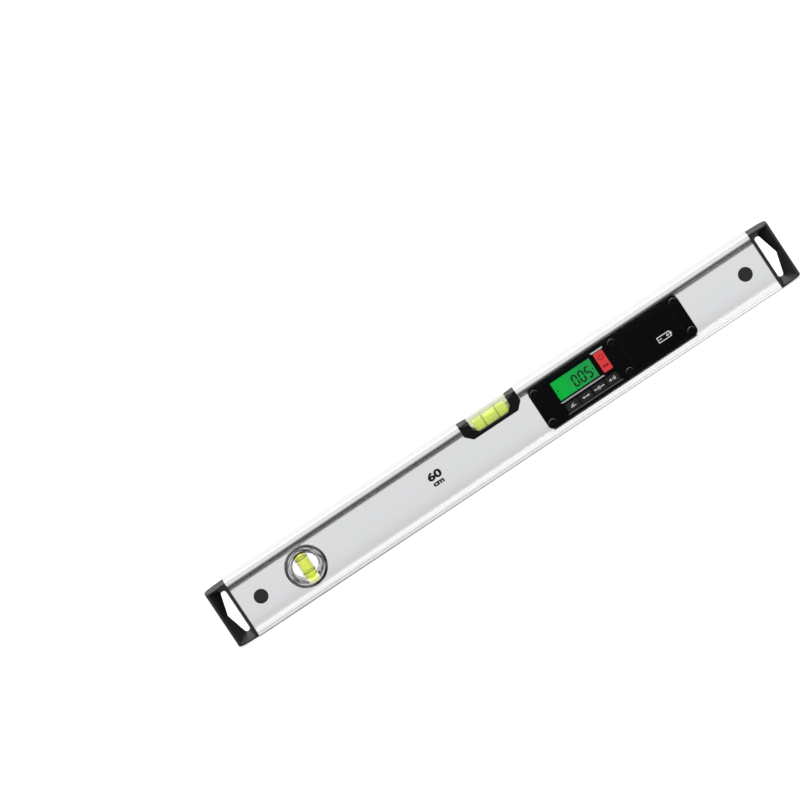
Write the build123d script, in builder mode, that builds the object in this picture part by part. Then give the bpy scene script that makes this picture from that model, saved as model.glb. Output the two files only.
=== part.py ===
from build123d import *
import math
import os

# Digital spirit level with a main vial, a plumb vial and a measuring module. Sizes are in millimetres.
# X runs along the level, the display side faces -Y and Z is up.
# The origin is the middle of the lower measuring face.

os.makedirs("parts", exist_ok=True)

# Extruded body: two lips joined to recessed webs by slopes
level_length = 600.0
level_depth = 25.0
lip_height = 3.7
slope_height = 5.0
web_height = 41.6
web_recess = 3.0
body_wall = 1.8
lip_round = 0.9
slope_round = 4.0
web_round = 2.4

# End caps with a hand hole that narrows from both faces to a waist, and the pins that lock them
cap_length = 20.7
cap_setback = 0.7
cap_taper = 0.8
cap_face_setback = 0.3
cap_plan_round = 8.0
cap_edge_round = 0.8
pocket_rim = 1.0
pocket_bar = 2.4
pocket_bow = 0.4
pocket_round = 1.4
waist_bar = 3.4
waist_end = 4.6
waist_nose = 10.4
waist_margin = 8.4
waist_round = 2.4
spigot_clearance = 0.15
spigot_wall = 2.2
spigot_tail = 3.0
pin_diameter = 13.3
pin_inset = 20.6
pin_proud = 0.5
pin_edge = 0.4
pin_clearance = 0.05

# Plumb vial: a ring in two halves that clamps a vertical vial tube
plumb_inset = 68.7
ring_margin = 1.2
ring_ledge = 1.2
ring_band = 7.4
ring_thickness = 1.8
ring_rim = 0.5
ring_bevel = 2.0
ring_clearance = 0.1
tube_diameter = 13.6
tube_wall = 1.6
tube_floor = 1.6
tube_fit = 0.05
socket_wall = 1.0
plumb_plug_length = 2.2
plumb_bubble_width = 7.6
plumb_bubble_height = 4.4
plumb_bubble_round = 1.8

# Main vial: a clear block in a black holder that fills a notch in the upper lip
block_length = 40.8
block_depth = 18.0
block_roof = 2.7
block_floor = 0.75
block_end_wall = 3.5
block_chamfer = 3.0
block_lap = 0.5
block_fit = 0.05
bore_diameter = 12.0
main_plug_diameter = 5.0
main_bubble_length = 12.0
main_bubble_width = 4.2
arm_width = 10.1
holder_floor = 1.3
vial_setback = 1.1
window_sill = 1.9
holder_chamfer = 6.5
window_chamfer = 5.0
facet_drop = 3.6
tongue_length = 3.0
tongue_thickness = 3.0
tongue_inset = 2.2
notch_overrun = 1.0
holder_clearance = 0.1

# Both vials: barrel bore, sealing plug, line rings and bubble
bore_sag = 0.2
plug_step = 0.5
line_spacing = 13.7
line_width = 0.8
line_thickness = 0.25
vial_fit = 0.05
bubble_gap = 0.25

# Measuring module: front cover, seal and case, held through the web by six screws
module_gap = 7.9
module_margin = 0.2
module_corner = 5.2
cover_thickness = 1.8
cover_edge = 0.5
seal_thickness = 0.4
seal_inset = 0.6
case_inset = 0.8
case_wall = 1.5
case_floor = 1.4
screw_inset = 5.2
screw_room = 8.3
counterbore_diameter = 8.8
counterbore_depth = 1.1
screw_diameter = 2.9
screw_head_diameter = 8.2
screw_head_height = 1.7
screw_head_round = 0.8
screw_length = 9.0
screw_clearance = 0.15
screw_slot = 0.7
pilot_fit = 0.05
boss_radius = 3.6

# Display and keys
display_margin = 20.3
lcd_width = 41.4
lcd_height = 18.6
lcd_margin = 5.0
lcd_inset = 1.5
lcd_gap = 2.4
lens_border = 0.9
lens_thickness = 1.0
lens_fit = 0.1
glass_border = 0.8
glass_thickness = 1.8
connector_height = 1.2
connector_gap = 0.2
backlight_thickness = 1.4
key_count = 4
key_gap = 1.2
key_border = 2.2
key_bevel = 1.6
key_frame_rise = 0.6
key_frame_gap = 1.1
key_frame_margin = 2.2
key_shelf = 1.5
power_gap = 4.3
key_proud = 0.1
key_round = 0.9
key_edge = 0.4
key_fit = 0.15
key_flange = 0.4
key_flange_thickness = 0.8
key_play = 0.1
key_travel = 0.8
key_stem_diameter = 3.2
keypad_margin = 2.9
power_key_width = 9.4
dome_diameter = 5.4
dome_height = 0.5
dome_taper = 45
window_gap = 0.4
window_round = 0.9

# Circuit board and what is soldered to it
board_thickness = 1.6
board_clearance = 0.3
board_round = 0.9
post_diameter = 4.0
post_inset = 4.0
sensor_size = 5.0
sensor_height = 1.2
processor_size = 9.0
processor_height = 1.4
buzzer_diameter = 12.0
buzzer_height = 4.5

# Battery bay for two cells side by side, its contacts and its lid
cell_diameter = 10.5
cell_length = 44.5
button_diameter = 3.8
button_length = 1.2
cell_gap = 0.8
cell_clearance = 0.3
cell_edge = 0.4
contact_room = 3.2
contact_thickness = 0.4
contact_diameter = 8.8
contact_bump = 4.0
contact_fit = 0.1
tail_width = 4.0
tail_lap = 2.0
lid_margin = 0.6
lid_ledge = 2.4
lid_inset = 2.6
lid_corner = 2.0
lid_thickness = 1.2
lid_fit = 0.25
lid_seat = 0.05
lid_rim_depth = 0.8
lid_rim_width = 1.0
lid_notch = 2.0
lid_notch_depth = 0.5
lid_notch_spread = 12.6

# Levels and places that follow from the sizes above
level_height = web_height + 2 * (lip_height + slope_height)
mid_z = level_height / 2
half_depth = level_depth / 2
web_y = half_depth - web_recess
web_inner_y = web_y - body_wall
body_end = level_length / 2 - cap_length
pin_x = body_end - pin_inset
pin_radius = pin_diameter / 2
spigot_length = pin_inset + pin_radius + spigot_tail

plumb_x = -(body_end - plumb_inset)
ring_radius = web_height / 2 - ring_margin
sleeve_radius = ring_radius - ring_ledge
ring_inner = ring_radius - ring_band
tube_radius = tube_diameter / 2
tube_bore = tube_radius - tube_wall
tube_half = math.sqrt(sleeve_radius**2 - tube_radius**2) - socket_wall
plumb_bore_low = mid_z - tube_half + tube_floor
plumb_bore_high = mid_z + tube_half - plumb_plug_length
plumb_bore_half = (plumb_bore_high - plumb_bore_low) / 2
plumb_bore_mid = (plumb_bore_high + plumb_bore_low) / 2

main_x = 0.0
bore_radius = bore_diameter / 2
block_half = block_length / 2
block_height = block_roof + bore_diameter + block_floor
window_half = block_half - block_lap
holder_half = window_half + arm_width
holder_drop = vial_setback + block_height + holder_floor
block_drop = holder_drop - holder_floor
bore_z = level_height - vial_setback - block_roof - bore_radius
main_bore_half = block_half - block_end_wall
main_bore_right = main_x + main_bore_half
main_plug_radius = main_plug_diameter / 2
main_bubble_radius = main_bubble_width / 2
main_bubble_z = bore_z + bore_radius - bore_sag - bubble_gap - main_bubble_radius

module_left = main_x + holder_half + module_gap
module_height = web_height - 2 * module_margin
module_bottom = mid_z - module_height / 2
module_top = mid_z + module_height / 2
keypad_left = module_left + display_margin
lcd_left = keypad_left + lcd_inset
lcd_right = lcd_left + lcd_width
lcd_x = (lcd_left + lcd_right) / 2
lcd_top = module_top - lcd_margin
lcd_bottom = lcd_top - lcd_height
lcd_z = (lcd_top + lcd_bottom) / 2
column_left = lcd_right + lcd_gap
keypad_right = column_left + power_key_width + 2 * key_border
keypad_top = lcd_bottom - key_frame_gap
keypad_bottom = module_bottom + keypad_margin
column_top = module_top - key_frame_margin

counterbore_radius = counterbore_diameter / 2
screw_left = module_left + screw_inset
screw_mid = keypad_right + screw_room
lid_left = screw_mid + counterbore_radius + lid_margin
bay_left = lid_left + lid_ledge
bay_length = cell_length + 2 * contact_room
bay_right = bay_left + bay_length
bay_x = (bay_left + bay_right) / 2
lid_length = bay_length + 2 * lid_ledge
screw_right = bay_right + lid_ledge + lid_margin + counterbore_radius
module_right = screw_right + screw_inset
module_width = module_right - module_left
module_x = (module_left + module_right) / 2
screw_low = module_bottom + screw_inset
screw_high = module_top - screw_inset
screw_places = [(x, z) for x in (screw_left, screw_mid, screw_right) for z in (screw_low, screw_high)]

cover_back_y = -(web_y + seal_thickness)
cover_front_y = cover_back_y - cover_thickness
frame_front_y = cover_front_y - key_frame_rise
key_front_y = frame_front_y - key_proud
glass_back_y = cover_back_y + glass_thickness
board_front_y = glass_back_y + backlight_thickness
board_back_y = board_front_y + board_thickness
dome_top_y = board_front_y - dome_height
stem_end_y = dome_top_y - key_travel - key_play

cell_radius = cell_diameter / 2
cell_y = -web_y + cell_radius
cell_places = [mid_z + (cell_diameter + cell_gap) / 2, mid_z - (cell_diameter + cell_gap) / 2]
bay_height = 2 * (cell_diameter + cell_clearance) + cell_gap
lid_height = module_height - 2 * lid_inset
case_back_y = cell_y + cell_radius + cell_clearance + case_floor
case_floor_y = case_back_y - case_floor
pocket_left = screw_left + boss_radius
pocket_right = screw_mid - boss_radius
pocket_height = module_height - 2 * (case_inset + case_wall)
board_left = pocket_left + board_clearance
board_right = pocket_right - board_clearance
board_x = (board_left + board_right) / 2
board_width = board_right - board_left
board_height = pocket_height - 2 * board_clearance

key_bottom = keypad_bottom + key_border
key_top = keypad_top - key_border - key_shelf
key_height = key_top - key_bottom
key_row = keypad_right - keypad_left - 2 * key_border
key_width = (key_row - (key_count - 1) * key_gap) / key_count
power_bottom = key_top + power_gap
power_top = column_top - key_border
keys = [
    (
        f"mode_key_{number + 1}",
        keypad_left + key_border + key_width / 2 + number * (key_width + key_gap),
        (key_bottom + key_top) / 2,
        key_width,
        key_height,
    )
    for number in range(key_count)
]
keys.append(
    (
        "power_key",
        column_left + key_border + power_key_width / 2,
        (power_bottom + power_top) / 2,
        power_key_width,
        power_top - power_bottom,
    )
)


def near(value, target):
    """True where two lengths are the same."""
    return abs(value - target) < 1e-6


def facing_front(x, y, z):
    """Plane at a point whose normal faces the display side, with X to the right and Z up."""
    return Plane(origin=(x, y, z), x_dir=(1, 0, 0), z_dir=(0, -1, 0))


def body_section(inset):
    """Section of the extruded body, drawn in evenly by an inset, with soft lips on the outside."""
    slope_end = lip_height + slope_height
    with BuildSketch(Plane.YZ) as section:
        with BuildLine():
            Polyline(
                (0, 0),
                (half_depth, 0),
                (half_depth, lip_height),
                (web_y, slope_end),
                (web_y, level_height - slope_end),
                (half_depth, level_height - lip_height),
                (half_depth, level_height),
                (0, level_height),
            )
            mirror(about=Plane.YZ)
        make_face()
        if inset > 0:
            offset(amount=-inset, kind=Kind.INTERSECTION)
        else:
            corners = section.vertices().filter_by(lambda v: near(abs(v.X), half_depth))
            measuring = corners.filter_by(lambda v: near(v.Y, 0) or near(v.Y, level_height))
            sloping = corners.filter_by(lambda v: not near(v.Y, 0) and not near(v.Y, level_height))
            fillet(measuring, lip_round)
            fillet(sloping, slope_round)
        fillet(section.vertices().filter_by(lambda v: near(abs(v.X), web_y - inset)), web_round)
    return section.sketch


def hand_hole_outline(y, bar, end, nose, margin, rounding):
    """Five-sided outline of the hand hole at one depth, measured from the end of the body."""
    with BuildSketch(facing_front(body_end, y, 0)) as outline:
        with BuildLine():
            Polyline(
                (bar, margin),
                (end, margin),
                (nose, mid_z),
                (end, level_height - margin),
                (bar, level_height - margin),
                close=True,
            )
        make_face()
        fillet(outline.vertices().filter_by(lambda v: not near(v.Y, mid_z)), rounding)
    return outline.sketch


def trough(half_width, drop, corner, rise):
    """Outline that hangs from the upper measuring face, with its lower corners cut off."""
    with BuildSketch(facing_front(main_x, 0, level_height)) as outline:
        with BuildLine():
            Polyline(
                (-half_width, rise),
                (-half_width, corner - drop),
                (corner - half_width, -drop),
                (half_width - corner, -drop),
                (half_width, corner - drop),
                (half_width, rise),
                close=True,
            )
        make_face()
    return outline.sketch


def barrel(plane, half_length, middle, end):
    """Half of a barrel, beside its axis, which is the Y direction of the plane."""
    with BuildSketch(plane) as half:
        with BuildLine():
            ThreePointArc((end, -half_length), (middle, 0), (end, half_length))
            Polyline((end, half_length), (0, half_length), (0, -half_length), (end, -half_length))
        make_face()
    return half.sketch


def key_frame_outline(y, inset):
    """Outline of the raised key frame: the key row with the power key's column above its right end."""
    with BuildSketch(facing_front(0, y, 0)) as outline:
        with BuildLine():
            Polyline(
                (keypad_left + inset, keypad_bottom + inset),
                (keypad_right - inset, keypad_bottom + inset),
                (keypad_right - inset, column_top - inset),
                (column_left + inset, column_top - inset),
                (column_left + inset, keypad_top - inset),
                (keypad_left + inset, keypad_top - inset),
                close=True,
            )
        make_face()
    return outline.sketch


# Aluminium body: one hollow extrusion, then its notch, holes and windows
body_outer = body_section(0)
body_hollow = body_section(body_wall)
holder_notch = trough(
    holder_half + holder_clearance, holder_drop + holder_clearance, holder_chamfer, notch_overrun
)
window_left = keypad_left - window_gap
window_right = keypad_right + window_gap
window_bottom = keypad_bottom - window_gap
window_top = lcd_top + glass_border + window_gap

with BuildPart() as body_profile:
    extrude(body_outer, amount=body_end, both=True)
    extrude(body_hollow, amount=body_end, both=True, mode=Mode.SUBTRACT)
    extrude(holder_notch, amount=level_depth, both=True, mode=Mode.SUBTRACT)
    with Locations(facing_front(plumb_x, 0, mid_z)):
        Hole(sleeve_radius + ring_clearance)
    with Locations(facing_front(pin_x, 0, mid_z), facing_front(-pin_x, 0, mid_z)):
        Hole(pin_radius + pin_clearance)
    with BuildSketch(facing_front(0, -web_y, 0)):
        with Locations(((window_left + window_right) / 2, (window_bottom + window_top) / 2)):
            RectangleRounded(window_right - window_left, window_top - window_bottom, window_round)
        with Locations((bay_x, mid_z)):
            RectangleRounded(bay_length + 2 * window_gap, bay_height + 2 * window_gap, window_round)
    extrude(amount=-2 * body_wall, mode=Mode.SUBTRACT)
    with Locations(*[facing_front(x, -web_y, z) for x, z in screw_places]):
        Hole(screw_diameter / 2 + screw_clearance, depth=2 * body_wall)
body_profile.part.label = "body_profile"
export_step(body_profile.part, "parts/body_profile.step")

# End caps: a block with a faceted hand hole and a hollow spigot inside the body
spigot_width = 2 * (web_inner_y - spigot_clearance)
spigot_height = level_height - 2 * (body_wall + spigot_clearance)
cap_face_y = half_depth - cap_face_setback
pocket_end = cap_length - pocket_rim
pocket_low = cap_setback + cap_taper + pocket_rim
pocket_front = hand_hole_outline(
    -cap_face_y, pocket_bar, pocket_end, pocket_end + pocket_bow, pocket_low, pocket_round
)
pocket_rear = hand_hole_outline(
    cap_face_y, pocket_bar, pocket_end, pocket_end + pocket_bow, pocket_low, pocket_round
)
waist = hand_hole_outline(
    0, waist_bar, waist_bar + waist_end, waist_bar + waist_nose, waist_margin, waist_round
)

with BuildPart() as end_cap_right:
    with BuildSketch(Plane.XY) as cap_plan:
        with Locations((body_end + cap_length / 2, 0)):
            Rectangle(cap_length, 2 * cap_face_y)
        fillet(cap_plan.vertices().group_by(Axis.X)[-1], cap_plan_round)
    extrude(amount=level_height)
    with BuildSketch(facing_front(body_end, 0, 0)):
        with BuildLine():
            Polyline(
                (0, cap_setback),
                (cap_length, cap_setback + cap_taper),
                (cap_length, level_height - cap_setback - cap_taper),
                (0, level_height - cap_setback),
                close=True,
            )
        make_face()
    extrude(amount=level_depth, both=True, mode=Mode.INTERSECT)
    flats = end_cap_right.faces().filter_by(lambda face: abs(face.normal_at().Z) > 0.9)
    fillet(flats.edges().filter_by(lambda edge: edge.center().X > body_end + cap_edge_round), cap_edge_round)
    loft([pocket_front, waist], ruled=True, mode=Mode.SUBTRACT)
    loft([waist, pocket_rear], ruled=True, mode=Mode.SUBTRACT)
    with BuildSketch(Plane.YZ.offset(body_end)):
        with Locations((0, mid_z)):
            RectangleRounded(spigot_width, spigot_height, spigot_wall)
    extrude(amount=-spigot_length)
    with BuildSketch(Plane.YZ.offset(body_end - spigot_wall)):
        with Locations((0, mid_z)):
            Rectangle(spigot_width - 2 * spigot_wall, spigot_height - 2 * spigot_wall)
    extrude(amount=-spigot_length, mode=Mode.SUBTRACT)
    with Locations(facing_front(pin_x, 0, mid_z)):
        Hole(pin_radius + pin_clearance)
end_cap_right.part.label = "end_cap_right"
export_step(end_cap_right.part, "parts/end_cap_right.step")

with BuildPart() as end_cap_left:
    mirror(end_cap_right.part, about=Plane.YZ)
end_cap_left.part.label = "end_cap_left"
export_step(end_cap_left.part, "parts/end_cap_left.step")

# Cap pins: round plugs right through the webs and the spigots
for side, x in (("left", -pin_x), ("right", pin_x)):
    with BuildPart() as cap_pin:
        with BuildSketch(facing_front(x, 0, mid_z)):
            Circle(pin_radius)
        extrude(amount=web_y + pin_proud, both=True)
        chamfer(cap_pin.edges().filter_by(GeomType.CIRCLE), pin_edge)
    cap_pin.part.label = f"cap_pin_{side}"
    export_step(cap_pin.part, f"parts/cap_pin_{side}.step")

# Plumb ring: a bevelled flange on each web, with a sleeve that reaches to the middle of the body
ring_plane = Plane(origin=(plumb_x, 0, mid_z), x_dir=(1, 0, 0), z_dir=(0, 0, 1))
ring_face_y = web_y + ring_thickness

with BuildPart() as plumb_ring_front:
    with BuildSketch(ring_plane):
        with BuildLine():
            Polyline(
                (ring_inner, 0),
                (sleeve_radius, 0),
                (sleeve_radius, -web_y),
                (ring_radius, -web_y),
                (ring_radius, -web_y - ring_rim),
                (ring_radius - ring_bevel, -ring_face_y),
                (ring_inner + ring_bevel, -ring_face_y),
                (ring_inner, -web_y),
                close=True,
            )
        make_face()
    revolve(axis=Axis((plumb_x, 0, mid_z), (0, 1, 0)))
    with BuildSketch(Plane((plumb_x, 0, mid_z))):
        Circle(tube_radius + tube_fit)
    extrude(amount=tube_half + tube_fit, both=True, mode=Mode.SUBTRACT)
plumb_ring_front.part.label = "plumb_ring_front"
export_step(plumb_ring_front.part, "parts/plumb_ring_front.step")

with BuildPart() as plumb_ring_rear:
    mirror(plumb_ring_front.part, about=Plane.XZ)
plumb_ring_rear.part.label = "plumb_ring_rear"
export_step(plumb_ring_rear.part, "parts/plumb_ring_rear.step")

# Plumb vial: an upright tube with a barrel bore, closed below and plugged above
plumb_axis = Axis((plumb_x, 0, plumb_bore_mid), (0, 0, 1))
plumb_plane = Plane(origin=(plumb_x, 0, plumb_bore_mid), x_dir=(1, 0, 0), z_dir=(0, -1, 0))
plumb_plug_radius = tube_bore - bore_sag + plug_step
plumb_bore_face = barrel(plumb_plane, plumb_bore_half, tube_bore, tube_bore - bore_sag)
plumb_liquid_face = barrel(
    plumb_plane, plumb_bore_half - vial_fit, tube_bore - vial_fit, tube_bore - bore_sag - vial_fit
)
plumb_lines = [mid_z - line_spacing / 2, mid_z + line_spacing / 2]

with BuildPart() as plumb_vial_tube:
    with BuildSketch(Plane((plumb_x, 0, mid_z))):
        Circle(tube_radius)
    extrude(amount=tube_half, both=True)
    revolve(plumb_bore_face, axis=plumb_axis, mode=Mode.SUBTRACT)
    with BuildSketch(Plane((plumb_x, 0, plumb_bore_high))):
        Circle(plumb_plug_radius + vial_fit)
    extrude(amount=plumb_plug_length, mode=Mode.SUBTRACT)
    with BuildSketch(*[Plane((plumb_x, 0, z)) for z in plumb_lines]):
        Circle(tube_bore + line_thickness + vial_fit)
    extrude(amount=line_width / 2 + vial_fit, both=True, mode=Mode.SUBTRACT)
plumb_vial_tube.part.label = "plumb_vial_tube"
export_step(plumb_vial_tube.part, "parts/plumb_vial_tube.step")

with BuildPart() as plumb_vial_plug:
    with BuildSketch(Plane((plumb_x, 0, plumb_bore_high))):
        Circle(plumb_plug_radius)
    extrude(amount=plumb_plug_length)
plumb_vial_plug.part.label = "plumb_vial_plug"
export_step(plumb_vial_plug.part, "parts/plumb_vial_plug.step")

with BuildPart() as plumb_vial_lines:
    with BuildSketch(*[Plane((plumb_x, 0, z)) for z in plumb_lines]):
        Circle(tube_bore + line_thickness)
        Circle(tube_bore, mode=Mode.SUBTRACT)
    extrude(amount=line_width / 2, both=True)
plumb_vial_lines.part.label = "plumb_vial_lines"
export_step(plumb_vial_lines.part, "parts/plumb_vial_lines.step")

# The bubble rests at the top of the tube and has a free channel down the middle of the liquid
plumb_bubble_top = plumb_bore_high - bubble_gap
plumb_channel_low = plumb_bore_low + bubble_gap

with BuildPart() as plumb_vial_liquid:
    revolve(plumb_liquid_face, axis=plumb_axis)
    with BuildSketch(Plane((plumb_x, 0, plumb_channel_low))):
        Circle(plumb_bubble_width / 2 + bubble_gap)
    extrude(amount=plumb_bore_high - plumb_channel_low, mode=Mode.SUBTRACT)
plumb_vial_liquid.part.label = "plumb_vial_liquid"
export_step(plumb_vial_liquid.part, "parts/plumb_vial_liquid.step")

with BuildPart() as plumb_vial_bubble:
    with BuildSketch(Plane((plumb_x, 0, plumb_bubble_top))):
        Circle(plumb_bubble_width / 2)
    extrude(amount=-plumb_bubble_height)
    fillet(plumb_vial_bubble.edges().filter_by(GeomType.CIRCLE), plumb_bubble_round)
plumb_vial_bubble.part.label = "plumb_vial_bubble"
export_step(plumb_vial_bubble.part, "parts/plumb_vial_bubble.step")

# Main vial holder: fills the notch, frames the block on both sides and hooks under the upper lip
holder_face_y = half_depth - cap_face_setback
holder_top = level_height - vial_setback
holder_shape = trough(holder_half, holder_drop, holder_chamfer, -vial_setback)
window_shape = trough(window_half, block_drop - window_sill, window_chamfer, notch_overrun)
seat_shape = trough(block_half + block_fit, block_drop, block_chamfer, notch_overrun)
with BuildSketch(Plane.YZ.offset(main_x + window_half)) as facet_section:
    with BuildLine():
        Polyline(
            (-holder_face_y, holder_top),
            (facet_drop - holder_face_y, holder_top),
            (-holder_face_y, holder_top - facet_drop),
            close=True,
        )
    make_face()
facet_tip = Vertex(main_x + holder_half, -holder_face_y, holder_top)
arm_facet = loft([facet_section.sketch, facet_tip])
rear_facet = mirror(arm_facet, about=Plane.XZ)
vial_middle = Plane.YZ.offset(main_x)

with BuildPart() as main_vial_holder:
    extrude(holder_shape, amount=holder_face_y, both=True)
    extrude(window_shape, amount=level_depth, both=True, mode=Mode.SUBTRACT)
    extrude(seat_shape, amount=block_depth / 2 + block_fit, both=True, mode=Mode.SUBTRACT)
    for facet in (arm_facet, rear_facet):
        add(facet, mode=Mode.SUBTRACT)
        mirror(facet, about=vial_middle, mode=Mode.SUBTRACT)
    with BuildSketch(Plane.XY.offset(level_height - body_wall - holder_clearance)):
        with Locations((main_x, 0)):
            Rectangle(2 * (holder_half + tongue_length), 2 * (web_inner_y - tongue_inset))
            Rectangle(2 * block_half + arm_width, level_depth, mode=Mode.SUBTRACT)
    extrude(amount=-tongue_thickness)
main_vial_holder.part.label = "main_vial_holder"
export_step(main_vial_holder.part, "parts/main_vial_holder.step")

# Main vial block: clear block with a barrel bore, filled through a plugged hole in its right end
main_axis = Axis((main_x, 0, bore_z), (1, 0, 0))
main_plane = Plane(origin=(main_x, 0, bore_z), x_dir=(0, 0, -1), z_dir=(0, -1, 0))
block_shape = trough(block_half, block_drop - block_fit, block_chamfer, -vial_setback)
main_bore_face = barrel(main_plane, main_bore_half, bore_radius, bore_radius - bore_sag)
main_liquid_face = barrel(
    main_plane, main_bore_half - vial_fit, bore_radius - vial_fit, bore_radius - bore_sag - vial_fit
)
main_lines = [main_x - line_spacing / 2, main_x + line_spacing / 2]


def across_bore(x):
    """Plane square to the main vial's bore, on its axis, with Y to the right and Z up."""
    return Plane(origin=(x, 0, bore_z), x_dir=(0, 1, 0), z_dir=(1, 0, 0))


with BuildPart() as main_vial_block:
    extrude(block_shape, amount=block_depth / 2, both=True)
    revolve(main_bore_face, axis=main_axis, mode=Mode.SUBTRACT)
    with BuildSketch(across_bore(main_bore_right)):
        Circle(main_plug_radius + vial_fit)
    extrude(amount=block_end_wall, mode=Mode.SUBTRACT)
    with BuildSketch(*[across_bore(x) for x in main_lines]):
        Circle(bore_radius + line_thickness + vial_fit)
    extrude(amount=line_width / 2 + vial_fit, both=True, mode=Mode.SUBTRACT)
main_vial_block.part.label = "main_vial_block"
export_step(main_vial_block.part, "parts/main_vial_block.step")

with BuildPart() as main_vial_plug:
    with BuildSketch(across_bore(main_bore_right)):
        Circle(main_plug_radius)
    extrude(amount=block_end_wall)
main_vial_plug.part.label = "main_vial_plug"
export_step(main_vial_plug.part, "parts/main_vial_plug.step")

with BuildPart() as main_vial_lines:
    with BuildSketch(*[across_bore(x) for x in main_lines]):
        Circle(bore_radius + line_thickness)
        Circle(bore_radius, mode=Mode.SUBTRACT)
    extrude(amount=line_width / 2, both=True)
main_vial_lines.part.label = "main_vial_lines"
export_step(main_vial_lines.part, "parts/main_vial_lines.step")

# The bubble lies along the top of the bore, in a free channel that is open at the top
channel_radius = main_bubble_radius + bubble_gap
channel_half = main_bore_half - bubble_gap

with BuildPart() as main_vial_liquid:
    revolve(main_liquid_face, axis=main_axis)
    with BuildSketch(across_bore(main_x)):
        with Locations((0, main_bubble_z - bore_z)):
            Circle(channel_radius)
            Rectangle(2 * channel_radius, bore_diameter, align=(Align.CENTER, Align.MIN))
    extrude(amount=channel_half, both=True, mode=Mode.SUBTRACT)
main_vial_liquid.part.label = "main_vial_liquid"
export_step(main_vial_liquid.part, "parts/main_vial_liquid.step")

with BuildPart() as main_vial_bubble:
    with BuildSketch(facing_front(main_x, 0, main_bubble_z)):
        Ellipse(main_bubble_length / 2, main_bubble_radius)
        with Locations((0, -main_bubble_radius)):
            Rectangle(main_bubble_length, main_bubble_width, mode=Mode.SUBTRACT)
    revolve(axis=Axis((main_x, 0, main_bubble_z), (1, 0, 0)))
main_vial_bubble.part.label = "main_vial_bubble"
export_step(main_vial_bubble.part, "parts/main_vial_bubble.step")

# Module cover: plate with a raised key frame, display window, key holes, lid recess and counterbores
frame_base = key_frame_outline(cover_front_y, 0)
frame_top = key_frame_outline(frame_front_y, key_bevel)

with BuildPart() as module_cover:
    with BuildSketch(facing_front(module_x, cover_back_y, mid_z)):
        RectangleRounded(module_width, module_height, module_corner)
    extrude(amount=cover_thickness)
    chamfer(module_cover.faces().sort_by(Axis.Y)[0].edges(), cover_edge)
    loft([frame_base, frame_top], ruled=True)
    with BuildSketch(facing_front(lcd_x, cover_front_y, lcd_z)):
        Rectangle(lcd_width + 2 * lens_border, lcd_height + 2 * lens_border)
    extrude(amount=-lens_thickness, mode=Mode.SUBTRACT)
    with BuildSketch(facing_front(bay_x, cover_front_y, mid_z)):
        RectangleRounded(lid_length, lid_height, lid_corner + lid_fit)
    extrude(amount=-(lid_thickness + lid_seat), mode=Mode.SUBTRACT)
    with BuildSketch(facing_front(0, frame_front_y, 0)):
        with Locations((lcd_x, lcd_z)):
            Rectangle(lcd_width, lcd_height)
        with Locations((bay_x, mid_z)):
            Rectangle(bay_length, bay_height)
        for _, x, z, width, height in keys:
            with Locations((x, z)):
                RectangleRounded(width + 2 * key_fit, height + 2 * key_fit, key_round + key_fit)
    extrude(amount=-2 * (cover_thickness + key_frame_rise), mode=Mode.SUBTRACT)
    with Locations(*[facing_front(x, cover_front_y, z) for x, z in screw_places]):
        CounterBoreHole(screw_diameter / 2 + screw_clearance, counterbore_radius, counterbore_depth)
module_cover.part.label = "module_cover"
export_step(module_cover.part, "parts/module_cover.step")

# Seal between the cover and the web
with BuildPart() as module_seal:
    with BuildSketch(facing_front(0, -web_y, 0)):
        with Locations((module_x, mid_z)):
            RectangleRounded(
                module_width - 2 * seal_inset, module_height - 2 * seal_inset, module_corner - seal_inset
            )
        with Locations(((window_left + window_right) / 2, (window_bottom + window_top) / 2)):
            Rectangle(window_right - window_left, window_top - window_bottom, mode=Mode.SUBTRACT)
        with Locations((bay_x, mid_z)):
            Rectangle(bay_length + 2 * window_gap, bay_height + 2 * window_gap, mode=Mode.SUBTRACT)
        with Locations(*screw_places):
            Circle(screw_diameter / 2 + screw_clearance, mode=Mode.SUBTRACT)
    extrude(amount=seal_thickness)
module_seal.part.label = "module_seal"
export_step(module_seal.part, "parts/module_seal.step")

# Module case: moulding behind the web with a pocket for the board and two cradles for the cells
post_places = [
    (board_x + side_x * (board_width / 2 - post_inset), mid_z + side_z * (board_height / 2 - post_inset))
    for side_x in (-1, 1)
    for side_z in (-1, 1)
]
tail_back_y = board_front_y + contact_fit

with BuildPart() as module_case:
    with BuildSketch(facing_front(module_x, case_back_y, mid_z)):
        RectangleRounded(module_width - 2 * case_inset, module_height - 2 * case_inset, module_corner)
    extrude(amount=case_back_y + web_inner_y)
    with BuildSketch(facing_front((pocket_left + pocket_right) / 2, case_floor_y, mid_z)):
        RectangleRounded(pocket_right - pocket_left, pocket_height, window_round)
    extrude(amount=case_floor_y + web_inner_y, mode=Mode.SUBTRACT)
    with BuildSketch(facing_front(0, case_floor_y, 0)):
        with Locations(*post_places):
            Circle(post_diameter / 2)
    extrude(amount=case_floor_y - board_back_y)
    with BuildSketch(facing_front(bay_x, cell_y, mid_z)):
        Rectangle(bay_length, bay_height)
    extrude(amount=cell_y + web_inner_y, mode=Mode.SUBTRACT)
    with BuildSketch(Plane.YZ.offset(bay_left)):
        with Locations(*[(cell_y, z) for z in cell_places]):
            Circle(cell_radius + cell_clearance)
    extrude(amount=bay_length, mode=Mode.SUBTRACT)
    with BuildSketch(facing_front(0, tail_back_y, 0)):
        with Locations(*[((pocket_right + bay_left) / 2, z) for z in cell_places]):
            Rectangle(bay_left - pocket_right, tail_width + 2 * contact_fit)
    extrude(amount=tail_back_y + web_inner_y, mode=Mode.SUBTRACT)
    with Locations(*[facing_front(x, -web_inner_y, z) for x, z in screw_places]):
        Hole(screw_diameter / 2 + pilot_fit, depth=screw_length)
module_case.part.label = "module_case"
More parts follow.
